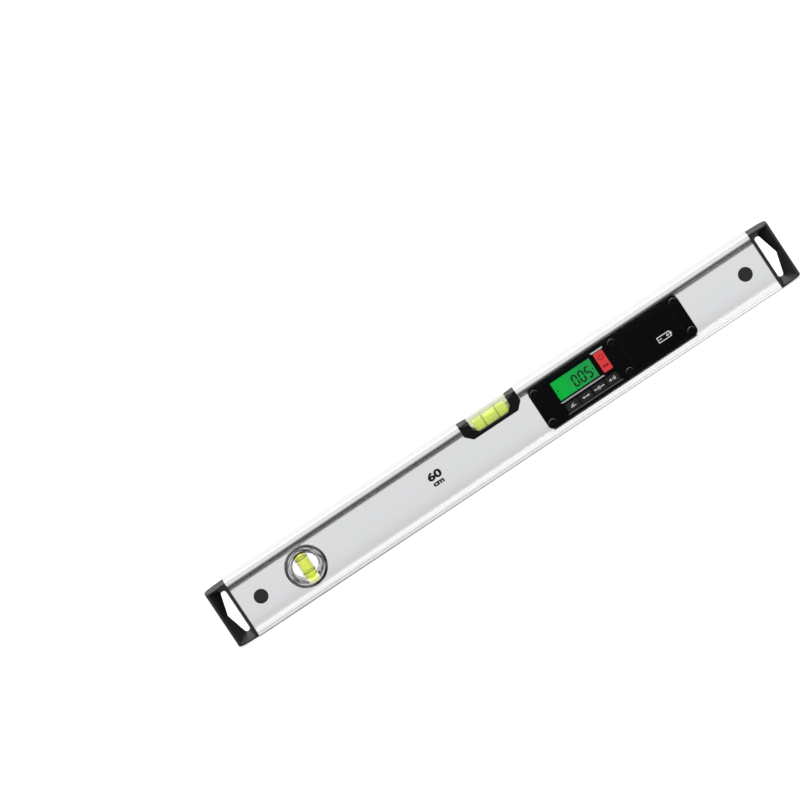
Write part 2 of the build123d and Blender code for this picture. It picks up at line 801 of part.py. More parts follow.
export_step(module_case.part, "parts/module_case.step")

# Module screws: six pan heads with a cross recess, seated in the counterbores and standing proud
screw_seat_y = cover_front_y + counterbore_depth
screw_top_y = screw_seat_y - screw_head_height

with BuildPart() as module_screws:
    with BuildSketch(facing_front(0, screw_seat_y, 0)):
        with Locations(*screw_places):
            Circle(screw_head_diameter / 2)
    extrude(amount=screw_head_height)
    fillet(module_screws.edges().group_by(Axis.Y)[0], screw_head_round)
    with BuildSketch(facing_front(0, screw_seat_y, 0)):
        with Locations(*screw_places):
            Circle(screw_diameter / 2)
    extrude(amount=-screw_length)
    with BuildSketch(facing_front(0, screw_top_y, 0)):
        with Locations(*screw_places):
            Rectangle(screw_diameter, screw_slot)
            Rectangle(screw_slot, screw_diameter)
    extrude(amount=-screw_slot, mode=Mode.SUBTRACT)
module_screws.part.label = "module_screws"
export_step(module_screws.part, "parts/module_screws.step")

# Display: clear window in the cover, glass behind it, backlight between two elastomer connectors
with BuildPart() as display_window:
    with BuildSketch(facing_front(lcd_x, cover_front_y + lens_thickness, lcd_z)):
        Rectangle(lcd_width + 2 * (lens_border - lens_fit), lcd_height + 2 * (lens_border - lens_fit))
    extrude(amount=lens_thickness)
display_window.part.label = "display_window"
export_step(display_window.part, "parts/display_window.step")

glass_width = lcd_width + 2 * glass_border
glass_height = lcd_height + 2 * glass_border
connector_z = glass_height / 2 - connector_height / 2
backlight_height = glass_height - 2 * (connector_height + connector_gap)

with BuildPart() as display_glass:
    with BuildSketch(facing_front(lcd_x, glass_back_y, lcd_z)):
        Rectangle(glass_width, glass_height)
    extrude(amount=glass_thickness)
display_glass.part.label = "display_glass"
export_step(display_glass.part, "parts/display_glass.step")

with BuildPart() as display_backlight:
    with BuildSketch(facing_front(lcd_x, board_front_y, lcd_z)):
        Rectangle(lcd_width, backlight_height)
    extrude(amount=backlight_thickness)
display_backlight.part.label = "display_backlight"
export_step(display_backlight.part, "parts/display_backlight.step")

with BuildPart() as display_connectors:
    with BuildSketch(facing_front(lcd_x, board_front_y, lcd_z)):
        with Locations((0, connector_z), (0, -connector_z)):
            Rectangle(lcd_width, connector_height)
    extrude(amount=backlight_thickness)
display_connectors.part.label = "display_connectors"
export_step(display_connectors.part, "parts/display_connectors.step")

# Circuit board on the case's posts, with the parts soldered to its back and the domes on its front
with BuildPart() as circuit_board:
    with BuildSketch(facing_front(board_x, board_back_y, mid_z)):
        RectangleRounded(board_width, board_height, board_round)
    extrude(amount=board_thickness)
circuit_board.part.label = "circuit_board"
export_step(circuit_board.part, "parts/circuit_board.step")

with BuildPart() as tilt_sensor:
    with BuildSketch(facing_front(board_x, board_back_y, mid_z)):
        Rectangle(sensor_size, sensor_size)
    extrude(amount=-sensor_height)
tilt_sensor.part.label = "tilt_sensor"
export_step(tilt_sensor.part, "parts/tilt_sensor.step")

with BuildPart() as processor:
    with BuildSketch(facing_front(board_x + board_width / 4, board_back_y, mid_z)):
        Rectangle(processor_size, processor_size)
    extrude(amount=-processor_height)
processor.part.label = "processor"
export_step(processor.part, "parts/processor.step")

with BuildPart() as buzzer:
    with BuildSketch(facing_front(board_x - board_width / 4, board_back_y, mid_z)):
        Circle(buzzer_diameter / 2)
    extrude(amount=-buzzer_height)
buzzer.part.label = "buzzer"
export_step(buzzer.part, "parts/buzzer.step")

with BuildPart() as key_domes:
    with BuildSketch(facing_front(0, board_front_y, 0)):
        with Locations(*[(x, z) for _, x, z, _, _ in keys]):
            Circle(dome_diameter / 2)
    extrude(amount=dome_height, taper=dome_taper)
key_domes.part.label = "key_domes"
export_step(key_domes.part, "parts/key_domes.step")

# Keys: a cap through the cover, a flange behind it and a stem over the dome
for name, x, z, width, height in keys:
    with BuildPart() as key:
        with BuildSketch(facing_front(x, cover_back_y + key_play, z)):
            RectangleRounded(width, height, key_round)
        extrude(amount=cover_back_y + key_play - key_front_y)
        fillet(key.faces().sort_by(Axis.Y)[0].edges(), key_edge)
        with BuildSketch(facing_front(x, cover_back_y + key_play, z)):
            Rectangle(width + 2 * key_flange, height + 2 * key_flange)
        extrude(amount=-key_flange_thickness)
        with BuildSketch(facing_front(x, stem_end_y, z)):
            Circle(key_stem_diameter / 2)
        extrude(amount=stem_end_y - cover_back_y - key_play)
    key.part.label = name
    export_step(key.part, f"parts/{name}.step")

# Battery cells: side by side, turned opposite ways
for name, z, way in (("battery_upper", cell_places[0], -1), ("battery_lower", cell_places[1], 1)):
    with BuildPart() as cell:
        with BuildSketch(Plane.YZ.offset(bay_x - way * cell_length / 2)):
            with Locations((cell_y, z)):
                Circle(cell_radius)
        extrude(amount=way * (cell_length - button_length))
        fillet(cell.edges().filter_by(GeomType.CIRCLE), cell_edge)
        with BuildSketch(Plane.YZ.offset(bay_x + way * (cell_length / 2 - button_length))):
            with Locations((cell_y, z)):
                Circle(button_diameter / 2)
        extrude(amount=way * button_length)
    cell.part.label = name
    export_step(cell.part, f"parts/{name}.step")

# Contacts: two discs with a bump and a tail to the board on the left, one bridge on the right
contact_rise = contact_room - contact_fit - contact_thickness
tail_left = board_right - tail_lap
tail_right = bay_left + contact_fit + contact_thickness

with BuildPart() as battery_contacts:
    with BuildSketch(Plane.YZ.offset(bay_left + contact_fit)):
        with Locations(*[(cell_y, z) for z in cell_places]):
            Circle(contact_diameter / 2)
    extrude(amount=contact_thickness)
    with BuildSketch(Plane.YZ.offset(tail_right)):
        with Locations(*[(cell_y, z) for z in cell_places]):
            Circle(contact_bump / 2)
    extrude(amount=contact_rise)
    with BuildSketch(facing_front(0, board_front_y, 0)):
        with Locations(*[((tail_left + tail_right) / 2, z) for z in cell_places]):
            Rectangle(tail_right - tail_left, tail_width)
    extrude(amount=contact_thickness)
battery_contacts.part.label = "battery_contacts"
export_step(battery_contacts.part, "parts/battery_contacts.step")

with BuildPart() as battery_bridge:
    with BuildSketch(Plane.YZ.offset(bay_right - contact_fit)):
        with Locations(*[(cell_y, z) for z in cell_places]):
            Circle(contact_diameter / 2)
        with Locations((cell_y - contact_fit, mid_z)):
            Rectangle(tail_width, cell_diameter + cell_gap, align=(Align.MAX, Align.CENTER))
    extrude(amount=-contact_thickness)
    with BuildSketch(Plane.YZ.offset(bay_right - contact_fit - contact_thickness)):
        with Locations(*[(cell_y, z) for z in cell_places]):
            Circle(contact_bump / 2)
    extrude(amount=-contact_rise)
battery_bridge.part.label = "battery_bridge"
export_step(battery_bridge.part, "parts/battery_bridge.step")

# Battery lid: plate flush with the cover, with a rim inside the opening and four pry notches
lid_back_y = cover_front_y + lid_thickness
notch_x = lid_length / 2 - lid_notch
rim_length = bay_length - 2 * lid_fit
rim_height = bay_height - 2 * lid_fit

with BuildPart() as battery_lid:
    with BuildSketch(facing_front(bay_x, lid_back_y, mid_z)):
        RectangleRounded(lid_length - 2 * lid_fit, lid_height - 2 * lid_fit, lid_corner)
    extrude(amount=lid_thickness)
    with BuildSketch(facing_front(bay_x, lid_back_y, mid_z)):
        Rectangle(rim_length, rim_height)
        Rectangle(rim_length - 2 * lid_rim_width, rim_height - 2 * lid_rim_width, mode=Mode.SUBTRACT)
    extrude(amount=-lid_rim_depth)
    with BuildSketch(facing_front(bay_x, cover_front_y, mid_z)):
        with GridLocations(2 * notch_x, lid_notch_spread, 2, 2):
            Rectangle(lid_notch, lid_notch)
    extrude(amount=-lid_notch_depth, mode=Mode.SUBTRACT)
battery_lid.part.label = "battery_lid"
export_step(battery_lid.part, "parts/battery_lid.step")
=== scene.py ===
import math

import bpy
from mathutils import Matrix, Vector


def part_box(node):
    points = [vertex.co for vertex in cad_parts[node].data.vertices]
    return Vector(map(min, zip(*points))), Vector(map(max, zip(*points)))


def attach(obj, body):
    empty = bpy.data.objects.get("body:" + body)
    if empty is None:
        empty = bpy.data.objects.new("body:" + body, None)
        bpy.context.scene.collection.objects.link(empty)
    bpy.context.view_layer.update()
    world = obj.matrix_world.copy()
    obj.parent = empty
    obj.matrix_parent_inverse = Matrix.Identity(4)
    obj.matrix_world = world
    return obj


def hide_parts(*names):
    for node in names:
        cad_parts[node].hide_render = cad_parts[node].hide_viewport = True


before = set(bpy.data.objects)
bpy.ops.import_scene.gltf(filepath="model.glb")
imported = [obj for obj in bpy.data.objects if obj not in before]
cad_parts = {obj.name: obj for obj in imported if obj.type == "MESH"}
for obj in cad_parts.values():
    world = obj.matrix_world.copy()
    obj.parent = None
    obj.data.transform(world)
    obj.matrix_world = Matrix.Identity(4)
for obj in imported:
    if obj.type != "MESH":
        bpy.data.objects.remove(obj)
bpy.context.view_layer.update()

mm = 0.001


# Body: one hollow aluminium extrusion, drawn through a die and satin anodised, so fine lines run along it.
# Its two lips are milled after anodising, which leaves the measuring faces bare and brighter.
def feed(node, sockets):
    """Sets sockets of a node, each to a fixed value or to the output of another node."""
    for name, value in sockets.items():
        if isinstance(value, bpy.types.NodeSocket):
            node.id_data.links.new(value, node.inputs[name])
        else:
            node.inputs[name].default_value = value


def add_node(tree, kind, sockets, **settings):
    """New node with its settings and its sockets."""
    node = tree.nodes.new(kind)
    for name, value in settings.items():
        setattr(node, name, value)
    feed(node, sockets)
    return node


def new_finish(name, colour, roughness, metal=0.0, gloss=0.5, more=None):
    """Material and its shader: colour, roughness, share of metal, level of gloss and more sockets."""
    finish = bpy.data.materials.new(name)
    finish.use_nodes = True
    shader = finish.node_tree.nodes["Principled BSDF"]
    feed(shader, {"Base Color": (*colour, 1), "Roughness": roughness, "Metallic": metal})
    feed(shader, {"Specular IOR Level": gloss, **(more or {})})
    return finish, shader


def object_place(shader):
    """Place on the piece, in its own coordinates."""
    return add_node(shader.id_data, "ShaderNodeTexCoord", {}).outputs["Object"]


def mapped(vector, location=(0, 0, 0), rotation=(0, 0, 0), scale=(1, 1, 1)):
    """Vector that is scaled, turned and moved."""
    sockets = {"Vector": vector, "Location": location, "Rotation": rotation, "Scale": scale}
    return add_node(vector.id_data, "ShaderNodeMapping", sockets).outputs["Vector"]


def split(vector):
    """X, Y and Z of a vector."""
    return add_node(vector.id_data, "ShaderNodeSeparateXYZ", {"Vector": vector}).outputs


def noise(vector, scale, detail, distortion=0.0):
    """Cloudy pattern over a vector."""
    sockets = {"Vector": vector, "Scale": scale, "Detail": detail, "Distortion": distortion}
    return add_node(vector.id_data, "ShaderNodeTexNoise", sockets).outputs["Fac"]


def reckon(operation, *values):
    """Outcome of a sum whose first value is the output of another node."""
    sockets = dict(enumerate(values))
    return add_node(values[0].id_data, "ShaderNodeMath", sockets, operation=operation).outputs["Value"]


def stretch(value, low, high, to_low=0.0, to_high=1.0):
    """Value carried from one range to another, and held at its ends."""
    sockets = {"Value": value, "From Min": low, "From Max": high, "To Min": to_low, "To Max": to_high}
    return add_node(value.id_data, "ShaderNodeMapRange", sockets).outputs["Result"]


def shade(value, *stops):
    """Colour that follows a value through stops, each with its position and colour."""
    ramp = add_node(value.id_data, "ShaderNodeValToRGB", {"Fac": value})
    marks = ramp.color_ramp.elements
    for stop in stops[1:-1]:
        marks.new(stop[0])
    for mark, (position, colour) in zip(marks, stops):
        mark.position, mark.color = position, (*colour, 1)
    return ramp.outputs["Color"]


def blend(share, low, high):
    """Mix of two colours by a share."""
    sockets = {0: share, 6: low, 7: high}
    return add_node(share.id_data, "ShaderNodeMix", sockets, data_type="RGBA").outputs[2]


def relief(height, strength, depth, under=None):
    """Normals of a fine relief, on the plain surface or on the normals under it."""
    sockets = {"Height": height, "Strength": strength, "Distance": depth}
    if under is not None:
        sockets["Normal"] = under
    return add_node(height.id_data, "ShaderNodeBump", sockets).outputs["Normal"]


def dress(finish, *nodes):
    """Puts a finish on CAD pieces that keep their own shape."""
    for name in nodes:
        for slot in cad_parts[name].material_slots:
            slot.material = finish


def drawn_aluminium(level_height):
    """Satin anodised web with lines along the extrusion, milled lips and softly rounded slopes."""
    web, lip = (0.735, 0.742, 0.752), (0.80, 0.805, 0.81)
    half_web, fade = 25.6 * mm, 0.3 * mm
    finish, shader = new_finish("drawn_aluminium", web, 0.26, 1.0)
    place = object_place(shader)
    height = split(place)["Z"]
    lines = noise(mapped(place, scale=(5.0, 1500.0, 1500.0)), 1.0, 3.0)
    cuts = noise(mapped(place, scale=(1800.0, 25.0, 25.0)), 1.0, 2.0)
    from_middle = reckon("ABSOLUTE", reckon("SUBTRACT", height, level_height / 2))
    milled = stretch(from_middle, half_web, half_web + fade)
    web_tint = shade(lines, (0.3, [c * 0.985 for c in web]), (0.7, [c * 1.015 for c in web]))
    lip_tint = shade(cuts, (0.35, [c * 0.97 for c in lip]), (0.65, lip))
    # Relief that turns the shading of the slopes as larger fillets would: height and rise in millimetres
    full_rise = 2.0
    slopes = (
        (3.3, 0.00), (3.7, 0.12), (4.4, 0.54), (4.85, 0.74), (5.3, 0.81), (47.3, 0.81),
        (48.1, 0.90), (48.9, 1.16), (49.3, 1.35), (50.3, 1.74), (51.3, 1.81), (52.0, 1.80),
        (53.1, 1.745), (54.2, 1.62), (54.6, 1.53), (55.0, 1.34), (55.3, 1.16), (55.5, 1.09),
    )
    stops = [(z * mm / level_height, [rise / full_rise] * 3) for z, rise in slopes]
    rounding = shade(stretch(height, 0.0, level_height), *stops)
    soft_slopes = relief(rounding, 1.0, full_rise * mm)
    feed(shader, {
        "Base Color": blend(milled, web_tint, lip_tint),
        "Roughness": stretch(lines, 0.3, 0.7, 0.24, 0.28),
        "Normal": relief(lines, 0.03, 0.05 * mm, soft_slopes),
    })
    return finish


body_low, body_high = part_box("body_profile")
dress(drawn_aluminium(body_high.z - body_low.z), "body_profile")


# Length mark: the plain nominal length in centimetres, printed in bold black on the front web.
# The number stands above its unit, and the ink is a thin layer on the anodising.
def printed_ink(name, colour, roughness=0.5):
    """Pad-printed ink with slightly uneven cover."""
    finish, shader = new_finish(name, colour, roughness, gloss=0.15)
    cover = noise(object_place(shader), 1500.0, 3.0)
    thin = [min(1.0, c * 1.2 + 0.004) for c in colour]
    feed(shader, {
        "Base Color": shade(cover, (0.45, colour), (0.8, thin)),
        "Roughness": stretch(cover, 0.0, 1.0, roughness - 0.1, roughness + 0.1),
    })
    return finish


def pick(piece):
    """Selects one piece alone and makes it the active one."""
    bpy.ops.object.select_all(action="DESELECT")
    piece.select_set(True)
    bpy.context.view_layer.objects.active = piece


def settle(piece, finish, body):
    """Fixes a finished piece: its place goes into its mesh, and it gets its finish, slot and body."""
    pick(piece)
    bpy.ops.object.transform_apply()
    piece.data.materials.clear()
    piece.data.materials.append(finish)
    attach(piece, body)


def weld(name, plates):
    """Joins plates into one piece."""
    pick(plates[0])
    for plate in plates:
        plate.select_set(True)
    bpy.ops.object.join()
    plates[0].name = name
    return plates[0]


def open_mesh():
    """Opens the active piece's mesh with all of it selected."""
    bpy.ops.object.mode_set(mode="EDIT")
    bpy.ops.mesh.select_all(action="SELECT")


def close_mesh(reach=0.002 * mm):
    """Merges the doubles of the open mesh, turns its faces outward and closes it."""
    bpy.ops.mesh.select_all(action="SELECT")
    bpy.ops.mesh.remove_doubles(threshold=reach)
    bpy.ops.mesh.normals_make_consistent(inside=False)
    bpy.ops.object.mode_set(mode="OBJECT")


def print_words(words, size, place, bold, widen, ink):
    """Bold words facing the front, as a thin mesh standing on a surface; sizes in millimetres."""
    bpy.ops.object.select_all(action="DESELECT")
    bpy.ops.object.text_add(rotation=(math.pi / 2, 0, 0))
    text = bpy.context.object
    text.data.body = words
    text.data.align_x = "CENTER"
    text.data.size, text.data.offset, text.data.extrude = size, bold, ink
    text.data.resolution_u = 4
    text.scale = (widen * mm, mm, mm)
    text.location = [p * mm for p in place]
    bpy.ops.object.convert(target="MESH")
    bpy.ops.object.transform_apply()
    open_mesh()
    close_mesh()
    return bpy.context.object


mark_x, web_front, mark_ink = -70.7, -9.5, 0.02
mark_lines = [
    print_words(words, size, (mark_x, web_front - mark_ink, foot), bold, widen, mark_ink)
    for words, size, foot, bold, widen in (("60", 9.8, 30.7, 0.45, 1.38), ("cm", 6.6, 24.7, 0.34, 1.35))
]
mark_black = printed_ink("mark_black", (0.006, 0.006, 0.007))
settle(weld("length_mark", mark_lines), mark_black, "level")


# End caps: black plastic mouldings with a hand hole, pushed into the body on hollow spigots.
# The tool leaves a fine spark-eroded grain, and handling rubs the outer edges a little paler.
def surface_normal(shader):
    """Direction in which the surface faces."""
    return add_node(shader.id_data, "ShaderNodeNewGeometry", {}).outputs["Normal"]


def moulded_plastic(name, colour, rubbed, roughness, grain, depth=0.25, gloss=0.3):
    """Moulded plastic: fine grain, uneven sheen, softened edges that are rubbed paler."""
    finish, shader = new_finish(name, colour, roughness, gloss=gloss)
    tree = finish.node_tree
    place = object_place(shader)
    pits = noise(place, grain, 3.0)
    clouds = noise(place, 90.0, 4.0)
    soft_edge = add_node(tree, "ShaderNodeBevel", {"Radius": 0.45 * mm}, samples=4).outputs["Normal"]
    both = {0: soft_edge, 1: surface_normal(shader)}
    turn = add_node(tree, "ShaderNodeVectorMath", both, operation="DOT_PRODUCT").outputs["Value"]
    rub = reckon("MULTIPLY", stretch(turn, 0.99, 0.8), clouds)
    feed(shader, {
        "Base Color": shade(rub, (0.1, colour), (0.8, rubbed)),
        "Roughness": stretch(clouds, 0.0, 1.0, roughness - 0.08, roughness + 0.1),
        "Normal": relief(pits, depth, 0.06 * mm, soft_edge),
    })
    return finish


def darken(colour, by):
    """One colour multiplied by another."""
    sockets = {0: 1.0, 6: colour, 7: by}
    mix = add_node(colour.id_data, "ShaderNodeMix", sockets, data_type="RGBA", blend_type="MULTIPLY")
    return mix.outputs[2]


def cap_black():
    """Cap plastic with painted shade by facing: faces that turn down are darkest, upright faces darker,
    upward-sloping faces keep the grained colour and the flat top is darkened again.
    """
    black, rubbed = (0.036, 0.038, 0.0385), (0.08, 0.082, 0.084)
    finish = moulded_plastic("cap_plastic", black, rubbed, 0.50, 2600.0, gloss=0.18)
    shader = finish.node_tree.nodes["Principled BSDF"]
    grained = shader.inputs["Base Color"].links[0].from_socket
    # Painted shade: the grained colour is darkened by which way each face turns
    upward = stretch(split(surface_normal(shader))["Z"], -1.0, 1.0)
    shade_levels = ((0.34, 0.22), (0.48, 0.54), (0.52, 0.58), (0.70, 1.0), (0.96, 1.0), (0.99, 0.46))
    tone = shade(upward, *[(position, [level] * 3) for position, level in shade_levels])
    feed(shader, {"Base Color": darken(grained, tone)})
    return finish


dress(cap_black(), "end_cap_left", "end_cap_right")


# Cap pins: round black plugs pressed through both webs, which lock the caps' spigots in the body.
# They are turned from rod, so faint rings run round their flat ends.
def turned_plastic(name, middle):
    """Black rod with rings round its axis, which runs from front to back."""
    finish, shader = new_finish(name, (0.012, 0.012, 0.013), 0.42, gloss=0.22)
    place = object_place(shader)
    turning = {"Vector": mapped(place, location=-middle), "Scale": 320.0, "Distortion": 0.6, "Detail": 2.0}
    rings = add_node(
        finish.node_tree, "ShaderNodeTexWave", turning, wave_type="RINGS", rings_direction="Y"
    ).outputs["Fac"]
    tone = noise(place, 700.0, 4.0)
    feed(shader, {
        "Base Color": shade(tone, (0.45, (0.016, 0.016, 0.017)), (0.8, (0.04, 0.04, 0.042))),
        "Roughness": stretch(rings, 0.0, 1.0, 0.36, 0.52),
        "Normal": relief(rings, 0.2, 0.04 * mm),
    })
    return finish


def box_of(node):
    """Middle of a CAD piece's box, and half of its size."""
    low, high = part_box(node)
    return (low + high) / 2, (high - low) / 2


for pin in ("cap_pin_left", "cap_pin_right"):
    dress(turned_plastic(pin.replace("cap", "painted_edge_paling"), box_of(pin)[0]), pin)


# Plumb rings: two halves moulded in smoke-tinted clear plastic, one pushed in from each web.
# Each has a bevelled flange outside and a sleeve inside, and together they clamp the upright vial.
def turn_on_lathe(name, loops, middle, tilt=(0, 0, 0), closed_ends=True):
    """Shape turned about an axis through loops of radius and distance along it."""
    bpy.ops.object.select_all(action="DESELECT")
    fill = "NGON" if closed_ends else "NOTHING"
    sides = 96
    radius, along = loops[0]
    bpy.ops.mesh.primitive_circle_add(vertices=sides, radius=radius, fill_type=fill, location=(0, 0, along))
    piece = bpy.context.object
    piece.name = name
    bpy.ops.object.mode_set(mode="EDIT")
    bpy.ops.mesh.select_mode(type="EDGE")
    for next_radius, next_along in loops[1:]:
        bpy.ops.mesh.extrude_edges_move(TRANSFORM_OT_translate={"value": (0, 0, next_along - along)})
        change = next_radius / radius
        bpy.ops.transform.resize(value=(change, change, 1), center_override=(0, 0, next_along))
        radius, along = next_radius, next_along
    if closed_ends:
        bpy.ops.mesh.edge_face_add()
    close_mesh(0.001 * mm)
    bpy.ops.object.transform_apply()
    piece.rotation_euler, piece.location = tilt, middle
    bpy.ops.object.transform_apply()
    return piece


def cut_away(piece, cutter):
    """Takes one shape out of another."""
    pick(piece)
    cut = piece.modifiers.new("cut", "BOOLEAN")
    cut.operation, cut.solver, cut.object = "DIFFERENCE", "EXACT", cutter
    bpy.ops.object.modifier_apply(modifier=cut.name)
    bpy.data.objects.remove(cutter)


def ease_edges(piece, width, angle=30):
    """Rounds the sharp edges a little and shades the rest smooth."""
    pick(piece)
    ease = piece.modifiers.new("ease", "BEVEL")
    ease.width, ease.segments, ease.limit_method = width, 2, "ANGLE"
    ease.angle_limit = math.radians(angle)
    bpy.ops.object.modifier_apply(modifier=ease.name)
    bpy.ops.object.shade_smooth_by_angle(angle=math.radians(angle))


def smoked_ring(middle):
    """Smoke-tinted clear moulding with painted reflections: dark rings where its bevels would turn light
    away and pale streaks between them, a painted glow of the spirit on its foot and a painted shade arc
    above the vial's head.
    """
    clear = {"Transmission Weight": 0.2, "IOR": 1.3}
    finish, shader = new_finish("smoke_plastic", (0.12, 0.12, 0.125), 0.10, gloss=0.4, more=clear)
    tree = finish.node_tree
    place = object_place(shader)
    centred = mapped(place, location=(-middle[0], 0, -middle[2]), scale=(1, 0, 1))

    # Painted reflections: dark and pale rings from the bore to the rim of the flange, and pale streaks that
    # run round them
    reach = add_node(tree, "ShaderNodeVectorMath", {0: centred}, operation="LENGTH").outputs["Value"]
    band = stretch(reach, 12.0 * mm, 19.7 * mm)
    steps = (
        (0.00, 1.00), (0.035, 1.00), (0.06, 0.15), (0.11, 1.00), (0.36, 1.00), (0.43, 0.35),
        (0.50, 1.00), (0.60, 0.90), (0.68, 0.22), (0.90, 0.16), (0.95, 0.80), (1.00, 0.45),
    )
    painted_bevel_shade = shade(band, *[(position, (level, level, level * 1.02)) for position, level in steps])
    compass = add_node(tree, "ShaderNodeVectorMath", {0: centred}, operation="NORMALIZE").outputs["Vector"]
    heading = split(compass)
    unrolled = {"X": heading["X"], "Y": band, "Z": heading["Z"]}
    round_axis = add_node(tree, "ShaderNodeCombineXYZ", unrolled).outputs["Vector"]
    streaks = noise(mapped(round_axis, location=(0.7, 0.4, 0.2), scale=(1.7, 4.2, 1.7)), 1.0, 2.0, 0.3)
    painted_streaks = shade(streaks, (0.36, (0.06, 0.06, 0.062)), (0.60, (0.90, 0.90, 0.91)))

    # Painted light of the spirit on the foot below the vial: its colour and a painted glow, strongest on the
    # inner wall; and a painted shade arc above the vial's head
    parts = split(centred)
    sideways = reckon("ABSOLUTE", parts["X"])
    at_vial = stretch(sideways, 5.0 * mm, 6.2 * mm, 1.0, 0.0)
    foot = reckon("MULTIPLY", at_vial, stretch(parts["Z"], -9.0 * mm, -10.8 * mm))
    painted_light_foot = reckon("MULTIPLY", foot, stretch(band, 0.42, 0.62, 1.0, 0.0))
    head = reckon("MULTIPLY", at_vial, stretch(parts["Z"], 10.8 * mm, 11.4 * mm))
    painted_shade_arc = reckon("MULTIPLY", head, stretch(band, 0.24, 0.30, 1.0, 0.0))
    dyed, paler = (0.84, 0.92, 0.24), (0.92, 0.93, 0.84)
    painted_spirit_light = shade(stretch(sideways, 0.0, 6.0 * mm), (0.45, dyed), (0.80, paler))
    from_centre = reckon("ABSOLUTE", split(place)["Y"])
    inside = stretch(from_centre, 9.0 * mm, 9.5 * mm, 0.55, 0.10)
    # The foot takes the spirit's colour and a painted glow; the arc above the vial's head is painted near
    # black
    tint = blend(painted_light_foot, darken(painted_bevel_shade, painted_streaks), painted_spirit_light)
    feed(shader, {
        "Base Color": blend(painted_shade_arc, tint, (0.02, 0.025, 0.008, 1)),
        "Emission Color": painted_spirit_light,
        "Emission Strength": reckon("MULTIPLY", painted_light_foot, inside),
    })
    return finish


ring_middle = box_of("plumb_ring_front")[0]
ring_middle.y = 0
tube_middle, tube_half = box_of("plumb_vial_tube")
smoke_plastic = smoked_ring(ring_middle)
sleeve, rim, bore, seam, web_face, flange_face = 18.4, 19.6, 12.2, 0.1, 9.5, 11.3
ring_loops = [
    (radius * mm, along * mm)
    for radius, along in (
        (sleeve, seam), (sleeve, web_face), (rim, web_face), (rim, 10.0), (18.9, 10.7),
        (17.6, flange_face), (16.0, flange_face), (15.7, 10.9), (15.2, 10.9), (14.2, flange_face),
        (bore, web_face), (bore, seam), (sleeve, seam),
    )
]
seat_play = 0.05 * mm
seat_radius, seat_end = tube_half.x + seat_play, tube_half.z + seat_play
seat_loops = [(seat_radius, -seat_end), (seat_radius, seat_end)]
for side, turn in (("front", math.pi / 2), ("rear", -math.pi / 2)):
    ring = turn_on_lathe(f"smoke_ring_{side}", ring_loops, ring_middle, (turn, 0, 0), False)
    cut_away(ring, turn_on_lathe("vial_seat", seat_loops, ring_middle))
    ease_edges(ring, 0.12 * mm)
    settle(ring, smoke_plastic, "level")
    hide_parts(f"plumb_ring_{side}")


# Plumb vial: a clear acrylic tube with a barrel bore, closed at its foot and plugged at its top.
# Two dark rings sit in grooves in the bore, and the yellow-green spirit fills it up to the bubble.
def clear_plastic(name, tint, roughness, bend, dusty=0.03, coat=0.5, gloss=0.5, glow=0.0):
    """See-through moulding with a polished skin and faint flow marks; it may carry a painted glow of the
    dye's light.
    """
    polished = {"Transmission Weight": 1.0, "IOR": bend, "Coat Weight": coat, "Coat Roughness": 0.04}
    # Painted glow of the dye's light
    if glow:
        polished.update({"Emission Color": (0.80, 0.86, 0.55, 1), "Emission Strength": glow})
    finish, shader = new_finish(name, tint, roughness, gloss=gloss, more=polished)
    flow = noise(object_place(shader), 220.0, 3.0, 0.8)
    feed(shader, {
        "Base Color": shade(flow, (0.3, [c * 0.95 for c in tint]), (0.65, tint)),
        "Roughness": stretch(flow, 0.0, 1.0, roughness, roughness + dusty),
        "Normal": relief(flow, 0.04, 0.1 * mm),
    })
    return finish


acrylic = clear_plastic("vial_acrylic", (0.95, 0.97, 0.88), 0.02, 1.12)
liquid_middle, liquid_half = box_of("plumb_vial_liquid")
plug_middle, plug_half = box_of("plumb_vial_plug")
bore_foot = liquid_middle.z - liquid_half.z - tube_middle.z
bore_head = plug_middle.z - plug_half.z - tube_middle.z
bore_play, bore_waist = 0.05 * mm, 0.15 * mm
plug_seat = plug_half.x + bore_play

tube = turn_on_lathe("plumb_tube", [(tube_half.x, -tube_half.z), (tube_half.x, tube_half.z)], tube_middle)
plumb_bore = [
    (liquid_half.x - bore_waist, bore_foot),
    (liquid_half.x + bore_play, (bore_foot + bore_head) / 2),
    (liquid_half.x - bore_waist, bore_head),
    (plug_seat, bore_head),
    (plug_seat, tube_half.z + 1 * mm),
]
cut_away(tube, turn_on_lathe("plumb_bore", plumb_bore, tube_middle))
ease_edges(tube, 0.3 * mm)
settle(tube, acrylic, "level")
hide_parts("plumb_vial_tube")


def barrel_loops(radius, half, sag=0.2 * mm, steps=12):
    """Loops of a barrel whose radius falls by a sag at its two ends."""
    reaches = [2 * step / steps - 1 for step in range(steps + 1)]
    return [(radius - sag * reach * reach, half * reach) for reach in reaches]


def dyed_spirit(name, clear, glow):
    """Clear spirit with a yellow-green dye, a painted glow and a painted sheen that makes it paler where its
    skin turns away from view.
    """
    # Painted glow: the spirit gives off light in its own colour
    lit = {"Transmission Weight": clear, "IOR": 1.04, "Emission Strength": glow}
    finish, shader = new_finish(name, (0.66, 0.76, 0.07), 0.03, gloss=0.2, more=lit)
    swirl = noise(object_place(shader), 120.0, 2.0, 0.5)
    tint = shade(swirl, (0.3, (0.72, 0.80, 0.09)), (0.7, (0.80, 0.86, 0.17)))
    facing = add_node(finish.node_tree, "ShaderNodeLayerWeight", {"Blend": 0.3}).outputs["Facing"]
    # Painted sheen: paler where the skin turns away from view
    painted_edge_paling = stretch(facing, 0.28, 0.80, 0.0, 0.92)
    feed(shader, {"Base Color": blend(painted_edge_paling, tint, (0.93, 0.95, 0.76, 1)), "Emission Color": tint})
    return finish


plumb_spirit = turn_on_lathe("plumb_spirit", barrel_loops(liquid_half.x, liquid_half.z), liquid_middle)
ease_edges(plumb_spirit, 0.2 * mm)
settle(plumb_spirit, dyed_spirit("plumb_dye", 0.85, 0.10), "level")
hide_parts("plumb_vial_liquid")


